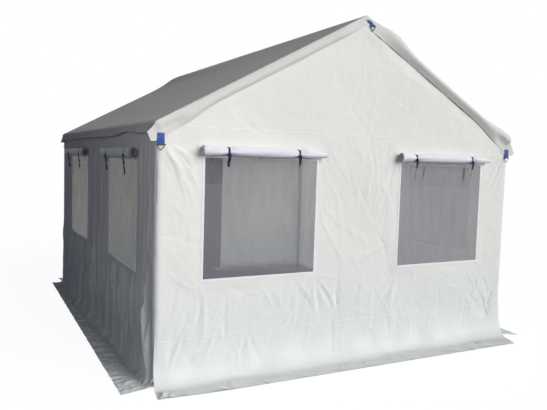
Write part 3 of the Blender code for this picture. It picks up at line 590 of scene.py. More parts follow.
gable = {
    "cell": 0.014,
    "rearCell": 0.024,
    "windowWidth": 0.985,
    "windowHeight": 0.925,
    "windowDrop": 0.247,
    "windowInset": 0.3735,
    "doorWidth": 0.890,
    "doorHead": 1.70,
    "flap": 0.300,
    "flapShort": 0.010,  # how much of it is under the wall's bend and its wrinkles
    "flapCorner": 0.030,  # how much narrower it is at the left corner
    "flapSlant": {"front": 0.020, "rear": -0.010},  # how much wider it gets towards the right
    "flapDrawn": {"front": (-0.050, -0.110), "rear": (-0.030, 0.040)},  # its left and right end, sideways
    "wallFrom": 0.19,  # height at which the grid leaves the bend
    "shoulder": 1.80,  # up to here its rows are level, and above they close up under the roof
    "aboveShoulder": 0.9,
    "underRoof": 0.0006,
    "edge": 0.0044,  # gap to the side wall's face
    "edgeRows": (0.026, 0.018, 0.011, 0.005),  # rows where the wall turns round the corner
    "bend": 0.135,
    "bendWave": 0.035,
    "billow": 0.004,
    "billowSize": 0.75,
    "foldRange": (-0.018, 0.024),
    "footFold": 0.009,  # soft folds above the bend
    "footFoldSize": 0.34,
    "groundFold": 0.003,
    "groundFoldSize": 0.16,
    "groundMost": 0.020,
    "heldEdge": (0.0, 0.09),  # distances over which the cloth comes loose from where it is held
    "heldRoof": (0.11, 0.20),
    "heldWindow": (0.020, 0.11),
    "heldDoor": (0.0, 0.10),
    "rollFlat": 0.10,  # it also lies flat this far above an opening, behind the roll
    "cornerRise": (0.08, 0.45),  # heights between which a wall starts to turn round the corner
}
wallHalf = halfWidth - gable["edge"]
gableHead = shelter["eave"] - gable["windowDrop"]
gableSill = gableHead - gable["windowHeight"]
windowOuter = halfWidth - gable["windowInset"]
windowInner = windowOuter - gable["windowWidth"]
gableWindows = [(-windowOuter, -windowInner), (windowInner, windowOuter)]
gableOpenings = {  # spans, sill, head, how the cloth is held round them
    "front": (gableWindows, gableSill, gableHead, gable["heldWindow"]),
    "rear": ([(-gable["doorWidth"] / 2, gable["doorWidth"] / 2)], 0.0, gable["doorHead"], gable["heldDoor"]),
}
footRows = (10, 8)  # rows of the grid on the ground and round the bend
footMiddle = 0.05  # the height that stands for those rows


def roofUnder(x):
    return shelter["ridge"] - risePerRun * np.abs(x) - shelter["skin"] / math.cos(pitch)


def footSteps():
    # shares along the cloth: below 0 on the ground, 0 to 1 round the bend
    stepsOut, stepsUp = footRows
    return [k / stepsOut - 1 for k in range(stepsOut)] + [k / stepsUp for k in range(stepsUp + 1)]


def footPoint(share, width, bend):
    # (outward, height) of a point of the foot, for a flap's width and a bend that may change along the wall
    turn = math.pi / 2 * (1 - np.clip(share, 0, 1))
    out = np.where(share < 0, bend + (width - bend) * -share, bend * (1 - np.cos(turn)))
    return out, shelter["skin"] + bend * (1 - np.sin(turn)) * (share > 0)


def gableSheet(which, creases, footCreases, seed):
    end = ends[which]
    cell = gable["cell"] if which == "front" else gable["rearCell"]
    openings, sill, head, heldReach = gableOpenings[which]
    turned = [wallHalf - inward for inward in gable["edgeRows"]]
    breaks = sorted([0.0, *[edge for span in openings for edge in span]])
    columns = np.array(steps([-wallHalf, *[-t for t in reversed(turned)], *breaks, *turned, wallHalf], cell))
    heights = [h for h in (coverFinish["seams"][1], sill, head) if h > 0]
    foot = [(share, 0.0) for share in footSteps()]
    wall = [(z, 0.0) for z in steps([gable["wallFrom"], *heights, gable["shoulder"]], cell)]
    upper = round(gable["aboveShoulder"] / cell)
    wall += [(gable["shoulder"], k / upper) for k in range(1, upper + 1)]
    marks = np.array(foot + wall)
    isFoot = np.arange(len(marks)) < len(foot)
    x, mark = np.meshgrid(columns, marks[:, 0], indexing="ij")
    share = np.meshgrid(columns, marks[:, 1], indexing="ij")[1]
    bend = gable["bend"] + gable["bendWave"] * np.sin(2.1 * x + 0.6) * np.sin(5.3 * x + seed)
    width = gable["flap"] - gable["flapShort"] + gable["flapSlant"][which] * x / halfWidth
    width = width - gable["flapCorner"] * ease(-1.3, -1.8, x)
    out, footZ = footPoint(np.clip(mark, -1, 1), width, bend)
    out = np.where(isFoot, out, 0.0)
    z = np.where(isFoot, footZ, mark)
    top = roofUnder(x) - gable["underRoof"]
    z = z + share * (top - z)
    # held along its edges, under the roof, at the eaves' tabs and round its openings
    loose = ease(*gable["heldEdge"], halfWidth - np.abs(x)) * ease(*gable["heldRoof"], top - z)
    loose = loose * (1 - ease(1.40, 1.55, np.abs(x)) * ease(1.74, 1.80, z))
    loose = loose * heldAround(x, z, openings, sill, head + gable["rollFlat"], heldReach)
    height = gable["billow"] * ripples(x, z, seed, gable["billowSize"]) + creaseHeights(x, z, creases)
    height = np.clip(height * loose, *gable["foldRange"])
    upright = 1 - ease(0.0, 0.8, out / bend)
    around = gable["footFold"] * (1 + ripples(x, out * 2 + z, seed + 2, gable["footFoldSize"]))
    around = around * ease(0.30, 0.08, z) * (loose > 0)
    onGround = ease(0.0, 0.03, out) * ease(0.5, 1.5, out / bend)
    lift = gable["groundFold"] * (1 + ripples(x, out * 2, seed + 1, gable["groundFoldSize"]))
    lift = np.clip(np.abs(creaseHeights(x, out, footCreases)) + lift, 0.0, gable["groundMost"])
    aside, back = turnedIn(x, halfWidth, upright * ease(*gable["cornerRise"], z))
    y = end * (halfLength + out - back + height * upright + around * np.minimum(upright, 0.7))
    z = z + lift * onGround * ease(0.0, 0.05, halfWidth - np.abs(x))
    drawnLeft, drawnRight = gable["flapDrawn"][which]
    x = x - aside + (out / gable["flap"]) * (drawnLeft * ease(-1.2, -1.8, x) + drawnRight * ease(1.2, 1.8, x))
    midZ = np.where(isFoot[1:], footMiddle, (marks[:-1, 0] + marks[1:, 0]) / 2)
    skip = openCells(columns, midZ, openings, sill, head)
    mesh = gridMesh(f"{which}Wall", np.stack([x, y, z], axis=-1), (0, end, 0), skip)
    return thicken(addObject(f"{which}Wall", mesh, gableFinish))


# Where the gables' cloth is creased: fans are (seed, centre, turns, reach, count, width, height), strewn
# creases (seed, low, high, turns, lengths, count, width, height), in metres and degrees

gableCreases = {
    "cornerTurns": {-1: (-72, -6), 1: (186, 252)},  # from an eave's corner down into the wall
    "frontBows": [  # the slack between the windows hangs in bowed folds
        (-0.40, 1.36, -0.12, 0.83, 0.020, 0.0062, -0.05), (-0.16, 0.82, 0.45, 1.10, 0.018, 0.0064, -0.06),
        (-0.12, 0.90, 0.34, 1.00, 0.014, 0.0044, -0.05), (0.00, 1.00, 0.38, 1.12, 0.012, 0.0032, -0.04),
        (-0.38, 1.16, -0.20, 0.84, 0.014, -0.0040, 0.02), (0.44, 1.50, 0.40, 1.14, 0.014, 0.0040, 0.03),
    ],
    "frontFans": [  # and is drawn down from the seam above
        (31, (0.12, 2.00), (262, 280), 1.05, 8, 0.012, 0.0042),
        (33, (0.42, 1.86), (236, 262), 0.8, 5, 0.014, 0.0044),
        (35, (-0.42, 1.86), (275, 306), 0.9, 5, 0.014, 0.0048),
    ],
    "frontStrewn": [
        (37, (-1.7, 0.12), (1.7, 0.66), (55, 125), (0.16, 0.46), 70, 0.0140, 0.0062),
        (41, (-1.7, 0.30), (1.7, 0.80), (10, 170), (0.10, 0.32), 64, 0.0120, 0.0044),
        (43, (-1.75, 0.8), (1.75, 1.85), (0, 180), (0.10, 0.34), 70, 0.0120, 0.0030),
        (45, (-0.42, 0.75), (0.46, 1.85), (30, 150), (0.14, 0.40), 28, 0.0130, 0.0042),
        (47, (-1.1, 1.92), (1.1, 2.6), (0, 180), (0.20, 0.60), 14, 0.018, 0.0026),
    ],
    "rearStrewn": [
        (57, (-1.7, 0.12), (1.7, 0.75), (60, 120), (0.2, 0.5), 60, 0.020, 0.0080),
        (59, (-1.75, 0.6), (1.75, 1.85), (0, 180), (0.12, 0.35), 80, 0.016, 0.0045),
        (61, (-1.1, 1.92), (1.1, 2.6), (0, 180), (0.15, 0.45), 24, 0.018, 0.0030),
    ],
}


def frontCreases():
    found = []
    for s in (-1, 1):
        corner = (s * 1.77, 1.85)
        inward = gableCreases["cornerTurns"][s]
        found += fan(11 + s, corner, inward, 0.55, 11, 0.017, 0.0085)
        found += fan(13 + s, corner, inward, 0.30, 9, 0.012, 0.0052)
        found += fan(17 + s, (s * 1.70, 0.10), (100, 165) if s > 0 else (15, 80), 0.60, 8, 0.016, 0.0072)
        for window in gableWindows:
            for edge, turns in zip(window, ((225, 275), (265, 315))):
                found += fan(int(23 + s + edge * 10), (edge, gableSill - 0.02), turns, 0.46, 4, 0.015, 0.0056)
    found += gableCreases["frontBows"]
    for row in gableCreases["frontFans"]:
        found += fan(*row)
    for row in gableCreases["frontStrewn"]:
        found += strew(*row)
    return found


def rearCreases():
    found = []
    for s in (-1, 1):
        found += fan(51 + s, (s * 1.77, 1.85), gableCreases["cornerTurns"][s], 0.70, 12, 0.036, 0.0190)
        found += fan(55 + s, (s * 0.46, 1.72), (225, 268) if s < 0 else (272, 315), 0.65, 8, 0.026, 0.0100)
    for row in gableCreases["rearStrewn"]:
        found += strew(*row)
    return found


def groundCreases(seed, count):
    # short folds across a flap, measured along the wall and outward
    return strew(seed, (-1.95, 0.07), (1.95, 0.26), (55, 125), (0.10, 0.24), count, 0.016, 0.010, 0.02)


frontWall = gableSheet("front", frontCreases(), groundCreases(65, 60), 71)
rearWall = gableSheet("rear", rearCreases(), groundCreases(67, 60), 73)
windowArea = gable["windowWidth"] * gable["windowHeight"]
doorwayArea = gable["doorWidth"] * (gable["doorHead"] + gable["flap"])
for wall, which, opening in ((frontWall, "front", 2 * windowArea), (rearWall, "rear", doorwayArea)):
    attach(wall, f"{which}_arch")
    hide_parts(f"{which}_wall")
print("gable walls made")


# Side walls, each with its flap in one sheet

sideWall = {
    "cell": 0.0095,
    "rowCell": 0.032,
    "windowWidth": 0.930,
    "windowHeight": 0.881,
    "windowDrop": 0.278,
    "firstInset": 0.498,
    "lastInset": 0.649,
    "flap": 0.245,
    "flapEnds": {"left": (0.246, 0.140), "right": (0.150, 0.238)},  # they lie askew: widths at front and rear
    "flapDrawn": {"left": 0.050, "right": 0.120},  # how far their front corners are drawn forward
    "wallFrom": 0.11,
    "underRoof": 0.0004,
    "bend": 0.075,
    "bendWave": 0.022,
    "pleat": 0.020,
    "pleatPitch": 0.098,
    "pleatWander": 1.6,
    "swell": 0.006,  # wider waves, which the pleats gather on
    "swellPitch": 0.31,
    "pleatHigh": 0.30,  # share of the pleats' depth that is left at the top
    "foldRange": (-0.014, 0.052),
    "groundFold": 0.004,
    "groundFoldSize": 0.10,
    "groundMost": 0.024,
    "heldEdge": (0.01, 0.10),
    "heldEave": (0.0, 0.30),
    "heldWindow": (0.018, 0.09),
    "creases": [  # low, high, turns, lengths, count, width, height
        ((-1.95, 0.10), (1.95, 0.75), (82, 98), (0.25, 0.80), 210, 0.015, 0.0125),
        ((-1.95, 0.6), (1.95, 1.75), (80, 100), (0.30, 0.70), 90, 0.017, 0.0080),
        ((-1.95, 0.10), (1.95, 1.3), (40, 140), (0.10, 0.30), 90, 0.016, 0.0070),
    ],
    "creaseBow": 0.02,
    "cornerFold": [  # the foot stands out in one large fold beside the front corner
        (-1.945, 0.02, -1.80, 0.66, 0.050, 0.058, -0.01), (-1.84, 0.03, -1.73, 0.52, 0.034, -0.022, 0.0),
    ],
}
sideHead = shelter["eave"] - sideWall["windowDrop"]
sideSill = sideHead - sideWall["windowHeight"]
nearStart = sideWall["firstInset"] - halfLength
farEnd = halfLength - sideWall["lastInset"]
sideWindows = {
    "near": (nearStart, nearStart + sideWall["windowWidth"]),
    "far": (farEnd - sideWall["windowWidth"], farEnd),
}


def sidePleats(y, z, seed):
    # narrow pleats on wider waves, deeper towards the ground
    wander = ripples(y, z * 0.35, seed, 0.9) * sideWall["pleatWander"]
    deep = 0.5 + 0.5 * np.sin(2 * math.pi * y / sideWall["pleatPitch"] + wander)
    wide = 0.5 + 0.5 * np.sin(2 * math.pi * y / sideWall["swellPitch"] + ripples(y, z * 0.3, seed + 1, 1.4))
    growing = sideWall["pleatHigh"] + (1 - sideWall["pleatHigh"]) * ease(1.4, 0.35, z)
    return growing * (sideWall["pleat"] * deep ** 1.5 * wide + sideWall["swell"] * wide)


def sideSheet(label, side, seed):
    spans = list(sideWindows.values())
    columns = np.array(steps([-halfLength, *[edge for span in spans for edge in span], halfLength],
                             sideWall["cell"]))
    top = roofUnder(halfWidth) - sideWall["underRoof"]
    foot = footSteps()
    marks = np.array(foot + steps([sideWall["wallFrom"], sideSill, sideHead, top], sideWall["rowCell"]))
    isFoot = np.arange(len(marks)) < len(foot)
    y, mark = np.meshgrid(columns, marks, indexing="ij")
    bend = sideWall["bend"] + sideWall["bendWave"] * np.sin(2.3 * y + seed)
    near, far = sideWall["flapEnds"][label]
    width = near + (far - near) * (y + halfLength) / shelter["length"]
    out, footZ = footPoint(np.clip(mark, -1, 1), width, bend)
    out = np.where(isFoot, out, 0.0)
    z = np.where(isFoot, footZ, mark)
    loose = ease(*sideWall["heldEdge"], halfLength - np.abs(y))
    loose = loose * ease(*sideWall["heldEave"], shelter["eave"] - z)
    loose = loose * heldAround(y, z, spans, sideSill, sideHead + gable["rollFlat"], sideWall["heldWindow"])
    creases = [crease for k, row in enumerate(sideWall["creases"])
               for crease in strew(seed + 2 + k, *row, sideWall["creaseBow"])] + sideWall["cornerFold"]
    rise = np.where(isFoot, sideWall["wallFrom"] - out, z)
    height = sidePleats(y, z, seed) + creaseHeights(y, rise, creases)
    height = np.clip(height * loose, *sideWall["foldRange"])
    # the pleats run on round the bend and die out in crosswise folds on the ground
    around = np.where(isFoot, ease(1.6, 0.2, out / bend), 1.0)
    lift = sideWall["groundFold"] * (1 + ripples(y, out * 2, seed + 6, sideWall["groundFoldSize"]))
    lift = lift + np.abs(creaseHeights(y, out, groundCreases(seed + 5, 150)))
    lift = np.clip(lift, 0.0, sideWall["groundMost"])
    lift = lift * ease(0.0, 0.04, halfLength - np.abs(y)) * ease(0.5, 1.3, out / bend)
    aside, back = turnedIn(y, halfLength, np.where(isFoot, 0.0, 1.0) * ease(*gable["cornerRise"], z))
    x = side * (halfWidth + out - back + height * around)
    y = y - aside - sideWall["flapDrawn"][label] * (out / width) * ease(-1.4, -2.0, y)
    midZ = np.where(isFoot[1:], footMiddle, (marks[:-1] + marks[1:]) / 2)
    skip = openCells(columns, midZ, spans, sideSill, sideHead)
    mesh = gridMesh(f"{label}Wall", np.stack([x, y, z + lift], axis=-1), (side, 0, 0), skip)
    return thicken(addObject(f"{label}Wall", mesh, clothFinish))


for label, side in sides.items():
    wall = sideSheet(label, side, 80 + 10 * side)
    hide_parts(f"{label}_wall", f"{label}_mud_flap")
    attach(wall, "front_arch")
    foldWithFrame(wall)
print("side walls made")


# Roof cover with its folded bands and valances

roof = {
    "cell": 0.030,
    "lengthCell": 0.039,
    "valance": 0.083,
    "stand": 0.012,
    "round": 0.008,
    "band": 0.080,
    "bandWider": 0.040,  # it is wider towards the eaves
    "offWall": 0.0004,
    "foldRows": (1.985, 1.965, 1.935),  # rows beside the fold, and where the even rows start
    "evenFrom": 1.90,
    "dip": 0.062,  # the hem hangs lower at the corners
    "dipReach": 0.25,
    "rearLeftDip": 0.45,  # share of that at the rear left corner
    "hangingDip": 0.65,  # the least share of it across the band at the front right corner
    "flare": 0.012,  # how far the hem stands out from the wall
    "hemWave": 0.005,
    "hemPitch": 0.61,
    "cornerOut": {"left": 0.055, "right": 0.067, "rear": 0.028},  # how far the hem's corners stand out
    "wrinkle": 0.0080,
    "ripple": 0.003,
    "wrinkleMost": 0.016,
    "puff": 0.052,  # how far the cloth stands up beside the ridge
    "puffAt": 0.31,
    "puffReach": 0.16,
    "rearPuff": 0.8,  # share of it at the rear
    "eavePuff": 0.040,  # the same over the right eave's front corner
    "leftRoll": 0.022,  # how far the band's cloth rolls out: at the front on both slopes, and at the rear
    "rightRoll": 0.036,
    "rearRoll": 0.014,
    "flatAt": 0.040,  # the band lies flat under the peak's tab
    "flatReach": 0.085,
}
# the section of those rolls, from the fold (0) to the band's edge (1)
rightSection = ((0.0, 0.12, 0.25, 0.4, 0.6, 0.8, 1.0), (0.45, 0.80, 0.97, 1.0, 0.72, 0.36, 0.06))
leftSection = ((0.0, 0.15, 0.45, 0.72, 0.86, 1.0), (0.25, 0.65, 1.0, 0.96, 0.60, 0.15))


def roofOver(x):
    return shelter["ridge"] - risePerRun * np.abs(x)


def bandWidth(x):
    return roof["band"] + roof["bandWider"] * ease(1.35, 1.72, np.abs(x))


def roofProfile():
    # (x, z, band x, band z, share of the hem's hang) from the left hem to the right one
    edge = halfWidth + roof["stand"]
    eave = float(roofOver(edge))
    hem = shelter["eave"] - roof["valance"]
    widest = roof["band"] + roof["bandWider"]
    bandX = edge - widest
    bandZ = float(roofOver(bandX)) - widest / math.cos(pitch)
    points = []
    for k in range(5):
        share = k / 4
        top = hem + (eave - roof["round"] - hem) * share
        points.append((edge, top, bandX, hem + (bandZ - hem) * share, 1 - share))
    shoulder = edge - roof["round"]
    points.append((shoulder, float(roofOver(shoulder)), bandX, bandZ, 0.0))
    first = bandX + widest * math.sin(pitch)
    for x in steps([0.0, first], roof["cell"])[:0:-1]:
        inX, inZ = float(bandWidth(x)) * math.sin(pitch), float(bandWidth(x)) * math.cos(pitch)
        points.append((x, float(roofOver(x)), x - inX * min(1.0, x / 0.12), float(roofOver(x)) - inZ, 0.0))
    ridge = (0.0, shelter["ridge"], 0.0, shelter["ridge"] - roof["band"] / math.cos(pitch), 0.0)
    left = [(-x, z, -bx, bz, hang) for x, z, bx, bz, hang in points]
    return np.array([*left, ridge, *reversed(points)])


def roofCreases():
    draw = np.random.default_rng(97)
    found = []
    for s in (-1, 1):
        # long wrinkles from the ridge to the eave
        for k in range(15):
            start = draw.uniform(-1.8, 1.8)
            lean = draw.uniform(-0.5, 0.5)
            low = draw.uniform(0.9, 1.75)
            high = draw.uniform(0.05, 0.8)
            deep = draw.choice([1, -1]) * roof["wrinkle"]
            found.append((s * low, start, s * high, start + lean, 0.045, deep, 0.06))
        # and short ones above the eave
        for k in range(10):
            start = draw.uniform(-1.9, 1.6)
            low = s * draw.uniform(1.3, 1.78)
            high = s * draw.uniform(1.2, 1.75)
            end = start + draw.uniform(0.3, 0.9)
            deep = draw.choice([1, -1]) * roof["wrinkle"] / 2
            found.append((low, start, high, end, 0.030, deep, 0.03))
    return found


def nearTab(px, share):
    # 1 where an eave's tab lies on the band
    return ease(1.60, 1.70, np.abs(px)) * ease(0.25, 0.60, share)


def bandRoll(px, share, y):
    # how far the folded band stands off the gable: a soft roll on each verge, flatter at the rear
    clear = 1 - nearTab(px, share)
    onRight = ease(0.10, 0.40, px) * clear
    onLeft = ease(-0.04, -0.30, px) * clear
    left = np.interp(share, *leftSection)
    if y > 0:
        return roof["rearRoll"] * left * (onRight + onLeft)
    return roof["rightRoll"] * np.interp(share, *rightSection) * onRight + roof["leftRoll"] * left * onLeft


def hemDip(px, hang, y, share):
    # how much lower the hem hangs near a corner
    dip = roof["dip"] * hang * (1 - ease(0.0, roof["dipReach"], halfLength - abs(y)))
    if y >= 0:
        return dip * np.where(px < 0, roof["rearLeftDip"], 1.0)
    # at the front the left corner is drawn up into a point, and the right one hangs
    tongue = ease(0.0, 0.13, share) * ease(1.0, 0.45, share)
    least = roof["hangingDip"]
    return dip * np.where(px < 0, tongue, least + (1 - least) * tongue)


def cornerStand(px, hang, y, share):
    # how far the hem's corner stands out
    corner = roof["cornerOut"]
    most = np.where(px < 0, corner["left"], corner["right"]) if y < 0 else corner["rear"]
    return most * hang ** 1.4 * hill(halfLength - abs(y), 0.0, 0.07) * (1 - share) ** 2


def hemFlare(px, hang, y):
    # how far the hem stands out between the corners
    wave = 1 + math.sin(2 * math.pi * y / roof["hemPitch"]) + 0.6 * math.sin(27 * y + 1.0)
    flare = (roof["flare"] + roof["hemWave"] * wave) * hang * ease(0.0, 0.25, 1.96 - abs(y))
    return flare + np.where(px < 0, 0.010 * hang * hill(y, -0.3, 0.5), 0.0)


def makeRoof():
    fold = halfLength + roof["offWall"] + shelter["skin"]
    evenFrom, beside = roof["evenFrom"], roof["foldRows"]
    even = steps([-evenFrom, evenFrom], roof["lengthCell"])
    ys = [-fold, *[-y for y in beside], *even, *reversed(beside), fold]
    rows = [("band", -fold, k / 8) for k in range(8, 0, -1)] + [("top", y, 0.0) for y in ys]
    rows += [("band", fold, k / 6) for k in range(1, 7)]
    px, pz, bx, bz, hang = roofProfile().T
    points = np.zeros((len(px), len(rows), 3))
    along = np.abs(px)
    isHem = hang > 1e-6
    creases = roofCreases()
    bandCreases = strew(91, (-1.8, -2.0), (1.8, -1.95), (60, 120), (0.05, 0.12), 60, 0.016, 0.005, 0.01)
    bandCreases += strew(93, (-0.32, -2.0), (0.34, -1.95), (20, 160), (0.05, 0.14), 22, 0.014, 0.014, 0.01)
    # what the cloth stands up by at the verge, carried into the band
    raised = roof["puff"] * hill(along, roof["puffAt"], roof["puffReach"]) * ease(0.0, 0.10, along)
    atEave = roof["eavePuff"] * ease(1.40, 1.76, px) * np.where(isHem, 1 - hang, 1.0)
    offTab = ~isHem * (1 - np.exp(-(((px - roof["flatAt"]) / roof["flatReach"]) ** 4)))
    for j, (kind, y, share) in enumerate(rows):
        dip = hemDip(px, hang, y, share)
        corner = cornerStand(px, hang, y, share)
        roll = bandRoll(px, share, y)
        yy = np.full_like(px, y)
        if kind == "band":
            verge = raised * (px > 0) + atEave if y < 0 else roof["rearPuff"] * raised * (px < 0)
            x = px + (bx - px) * share + np.sign(px) * corner
            z = pz + (bz - pz) * share - dip + verge * (1 - share) ** 1.5
            lean = yy + 0.05 * share
            loose = roof["ripple"] * (1 + ripples(px, lean, 101, 0.20))
            loose = loose + np.abs(creaseHeights(px, lean, bandCreases))
            loose = (loose * share * 0.6 * (1 - nearTab(px, share)) + roll) * offTab
            points[:, j] = np.stack([x, yy + math.copysign(1, y) * loose, z], axis=-1)
            continue
        wrinkle = creaseHeights(px, yy, creases) + roof["ripple"] * (1 + ripples(px, yy, 103, 0.8))
        wrinkle = wrinkle * ease(0.0, 0.3, evenFrom - abs(y))
        wrinkle = wrinkle * ease(0.02, 0.12, halfWidth - along) * ease(0.0, 0.05, along)
        # the cloth is drawn up beside the ridge, on the right at the front and on the left at the rear
        puffed = ease(0.6, -2.0, y) * (px > 0) + roof["rearPuff"] * ease(-0.6, 2.0, y) * (px < 0)
        # and over the right eave's front corner
        puff = raised * puffed + atEave * ease(-1.3, -2.0, y)
        # the left hem rides up a little near the front
        lifted = np.where(px < 0, hang * (0.022 * hill(y, -1.27, 0.22) + 0.004 * math.sin(3.1 * y)), 0.0)
        atFold = math.copysign(1, y) * (abs(y) > halfLength)
        points[:, j, 0] = px + np.sign(px) * (hemFlare(px, hang, y) + corner) * isHem
        points[:, j, 1] = yy + atFold * roll * offTab
        points[:, j, 2] = pz + np.clip(wrinkle, 0.0, roof["wrinkleMost"]) + puff + lifted - dip
    mesh = gridMesh("roofCover", points, (0, 0, 1))
    return thicken(addObject("roofCover", mesh, roofFinish))


roofCover = makeRoof()
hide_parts("roof_cover")
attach(roofCover, "front_arch")
foldWithFrame(roofCover)
print("roof cover made")


# Windows: net, bound edge, rolled cover and ties

window = {
    "netCell": 0.03,
    "netPleat": 0.0005,
    "netBack": 0.0012,  # how far the net lies behind the wall's face
    "binding": 0.0165,
    "bindingDepth": 0.0018,
    "bindingSteps": 24,  # along each side
    "rollRadius": 0.0425,
    "rollCore": 0.010,
    "rollTurns": 6,
    "rollOverlap": 0.060,
    "rollOff": 0.0004,  # gap to the wall
    "rollLip": math.radians(215),  # where its free edge lies, from straight out and turning down
    "frontShort": 0.024,  # how much less the front rolls reach past the left edge
    "frontTaper": 0.52,  # and how much thinner they get towards the right end
    "rollRise": 0.050,
    "coverExtra": 0.06,  # how much longer a cover is than its window
    "tieInsets": {"frontLeft": (0.204, 0.265), "frontRight": (0.160, 0.240), "other": (0.210, 0.210)},
    "tieWidth": 0.018,
    "tieDepth": 0.0012,
    "pinch": 0.36,
    "pinchReach": 0.040,
    "ruck": 0.170,  # folds along the roll beside its ties
    "ruckReach": 0.110,
    "ruckLeast": 0.14,
    "telescope": 0.016,  # how far the outer turns stick out at the roll's end
    "knot": 0.0052,
    "knotAt": math.radians(38),
    "tails": {-1: (0.135, 0.165), 1: (0.060, 0.090)},  # a knot's two tails: their least and greatest lengths
    "flatTail": 0.098,
    "tailWidths": {"flat": 0.0125, "knot": 0.0075},  # half of them
}


def placeOn(origin, acrossWay, outWay):
    # turns (across, up, outward) into a point
    origin, acrossWay, outWay = Vector(origin), Vector(acrossWay), Vector(outWay)

    def place(a, b, c):
        return origin + acrossWay * a + Vector((0, 0, 1)) * b + outWay * c

    return place


def wayOn(place, a, b, c):
    # turns (across, up, outward) into a direction
    return place(a, b, c) - place(0, 0, 0)


def makeNet(name, place, span, sill, head):
    columns = np.array(steps(list(span), window["netCell"]))
    rows = np.array(steps([sill, head], window["netCell"]))
    a, b = np.meshgrid(columns, rows, indexing="ij")
    held = ease(0.0, 0.08, np.minimum(np.minimum(a - span[0], span[1] - a), np.minimum(b - sill, head - b)))
    sag = held * window["netPleat"] * ripples(a, b * 0.3, int(abs(span[0]) * 100), 0.12) - window["netBack"]
    points = np.array([[place(*spot) for spot in zip(*row)] for row in zip(a, b, sag)])
    return addObject(name, gridMesh(name, points, wayOn(place, 0, 0, 1)), netCloth)


def makeBinding(name, place, span, sill, head):
    # a tape sewn round the opening, lying on the wall and turned over its edge
    depth, wide = window["bindingDepth"], window["binding"]
    section = [
        (-0.003, -0.0016), (-0.003, depth), (0.001, depth + 0.0006),
        (wide * 0.4, depth + 0.0001), (wide * 0.8, depth + 0.0006),
        (wide, depth), (wide, 0.0004), (-0.0004, 0.0004), (-0.0004, -0.0016),
    ]
    corners = [(span[0], sill, -1, -1), (span[1], sill, 1, -1), (span[1], head, 1, 1), (span[0], head, -1, 1)]
    bm = bmesh.new()
    rings = []
    for k, (a, b, da, db) in enumerate(corners):
        nextA, nextB, ea, eb = corners[(k + 1) % 4]
        for step in range(window["bindingSteps"]):
            ring = []
            for grow, lift in section:
                start = Vector((a + da * grow, b + db * grow))
                end = Vector((nextA + ea * grow, nextB + eb * grow))
                point = start.lerp(end, step / window["bindingSteps"])
                pucker = 0.0004 * math.sin(step * 2.4 + k) if lift > 0.001 else 0.0
                ring.append(bm.verts.new(place(point.x, point.y, lift + pucker)))
            rings.append(ring)
    bridge(bm, [*rings, rings[0]])
    bmesh.ops.recalc_face_normals(bm, faces=bm.faces)
    mesh = meshOf(name, bm)
    mesh.shade_smooth()
    mesh.set_sharp_from_angle(angle=meshing["bindingEdge"])
    return addObject(name, mesh, bindingTape)


def makeRoll(name, place, span, height, radius, seed, finish, insets, taper):
    # the cover wound up on itself: one sheet in a spiral, drawn in by its ties
    start, length = span[0], span[1] - span[0]
    outward = radius + window["rollOff"]
    ties = (insets[0], length - insets[1])
    core, turns, least = window["rollCore"], window["rollTurns"], window["ruckLeast"]
    angles = []
    for turn in range(turns):
        count = 26 if turn >= turns - 2 else 12  # the outer turns show, so they are finer
        angles += [2 * math.pi * (turn + k / count) for k in range(count)]
    angles.append(2 * math.pi * turns)
    besideTies = [tie + off for tie in ties for off in (-0.05, 0.05)]
    phases = np.random.default_rng(seed).uniform(0, 2 * math.pi, 4)
    rows = []
    for along in steps([0.0, *besideTies, length], 0.022):
        nearest = min(abs(along - tie) for tie in ties)
        narrowed = taper * ease(length - 0.20, length, along)
        drawn = (1 - window["pinch"] * hill(nearest, 0.0, window["pinchReach"])) * (1 - narrowed)
        fold = max(hill(nearest, 0.0, window["ruckReach"]), least)
        row = []
        for angle in angles:
            share = angle / angles[-1]
            turn = window["rollLip"] + angle
            deep = math.sin(5 * turn + phases[0] + 9 * along) * 0.6 + math.sin(8 * turn + phases[1]) * 0.4
            ruck = window["ruck"] * fold * deep + 0.012 * math.sin(3 * turn + phases[3] + 14 * along)
            reach = (core + (radius - core) * share) * drawn
            reach = reach * (1 + ruck * share - 0.03 * share * (fold > least)) * 0.985
            ended = max(2 * along / length - 1, 0.0) ** 14 * window["telescope"] * (share - 0.6)
            begun = max(1 - 2 * along / length, 0.0) ** 14 * 0.006 * math.sin(share * 9 + phases[2])
            level = height - 0.012 * narrowed - reach * math.sin(turn)
            row.append(place(start + along + ended - begun, level, outward + reach * math.cos(turn)))
        rows.append(row)
    mesh = gridMesh(name, np.array(rows), wayOn(place, 0, 0, 1))
    return thicken(addObject(name, mesh, finish))


def tieLoop(name, place, along, height, outward, drawn, style):
    half = wayOn(place, window["tieWidth"] / 2, 0, 0)
    loop, across = [], []
    for k in range(33):
        turn = 2 * math.pi * k / 32
        reach = drawn + 0.0004 * math.sin(5 * turn)
        loop.append(place(along, height - reach * math.sin(turn), outward + reach * math.cos(turn)))
        across.append(half * (0.62 + 0.38 * abs(math.sin(turn / 2 - 0.4)) if style == "knot" else 0.9))
    return ribbon(name, loop, across, window["tieDepth"], tieTape)


def tieKnot(name, place, along, up, out):
    # one closed overhand knot
    size = window["knot"]
    lump, across = [], []
    for k in range(41):
        t = 2 * math.pi * k / 40
        dx = size * (math.sin(t) + 1.5 * math.sin(2 * t)) * 0.8
        dz = size * (math.cos(t) - 1.5 * math.cos(2 * t)) * 0.8
        dy = size * -math.sin(3 * t) * 0.7
        lump.append(place(along + dx, up + dz, out + 0.004 + dy))
        across.append(wayOn(place, 0.0, math.sin(t) * 0.003, math.cos(t) * 0.0035))
    return ribbon(name, lump, across, 0.0030, tieTape)


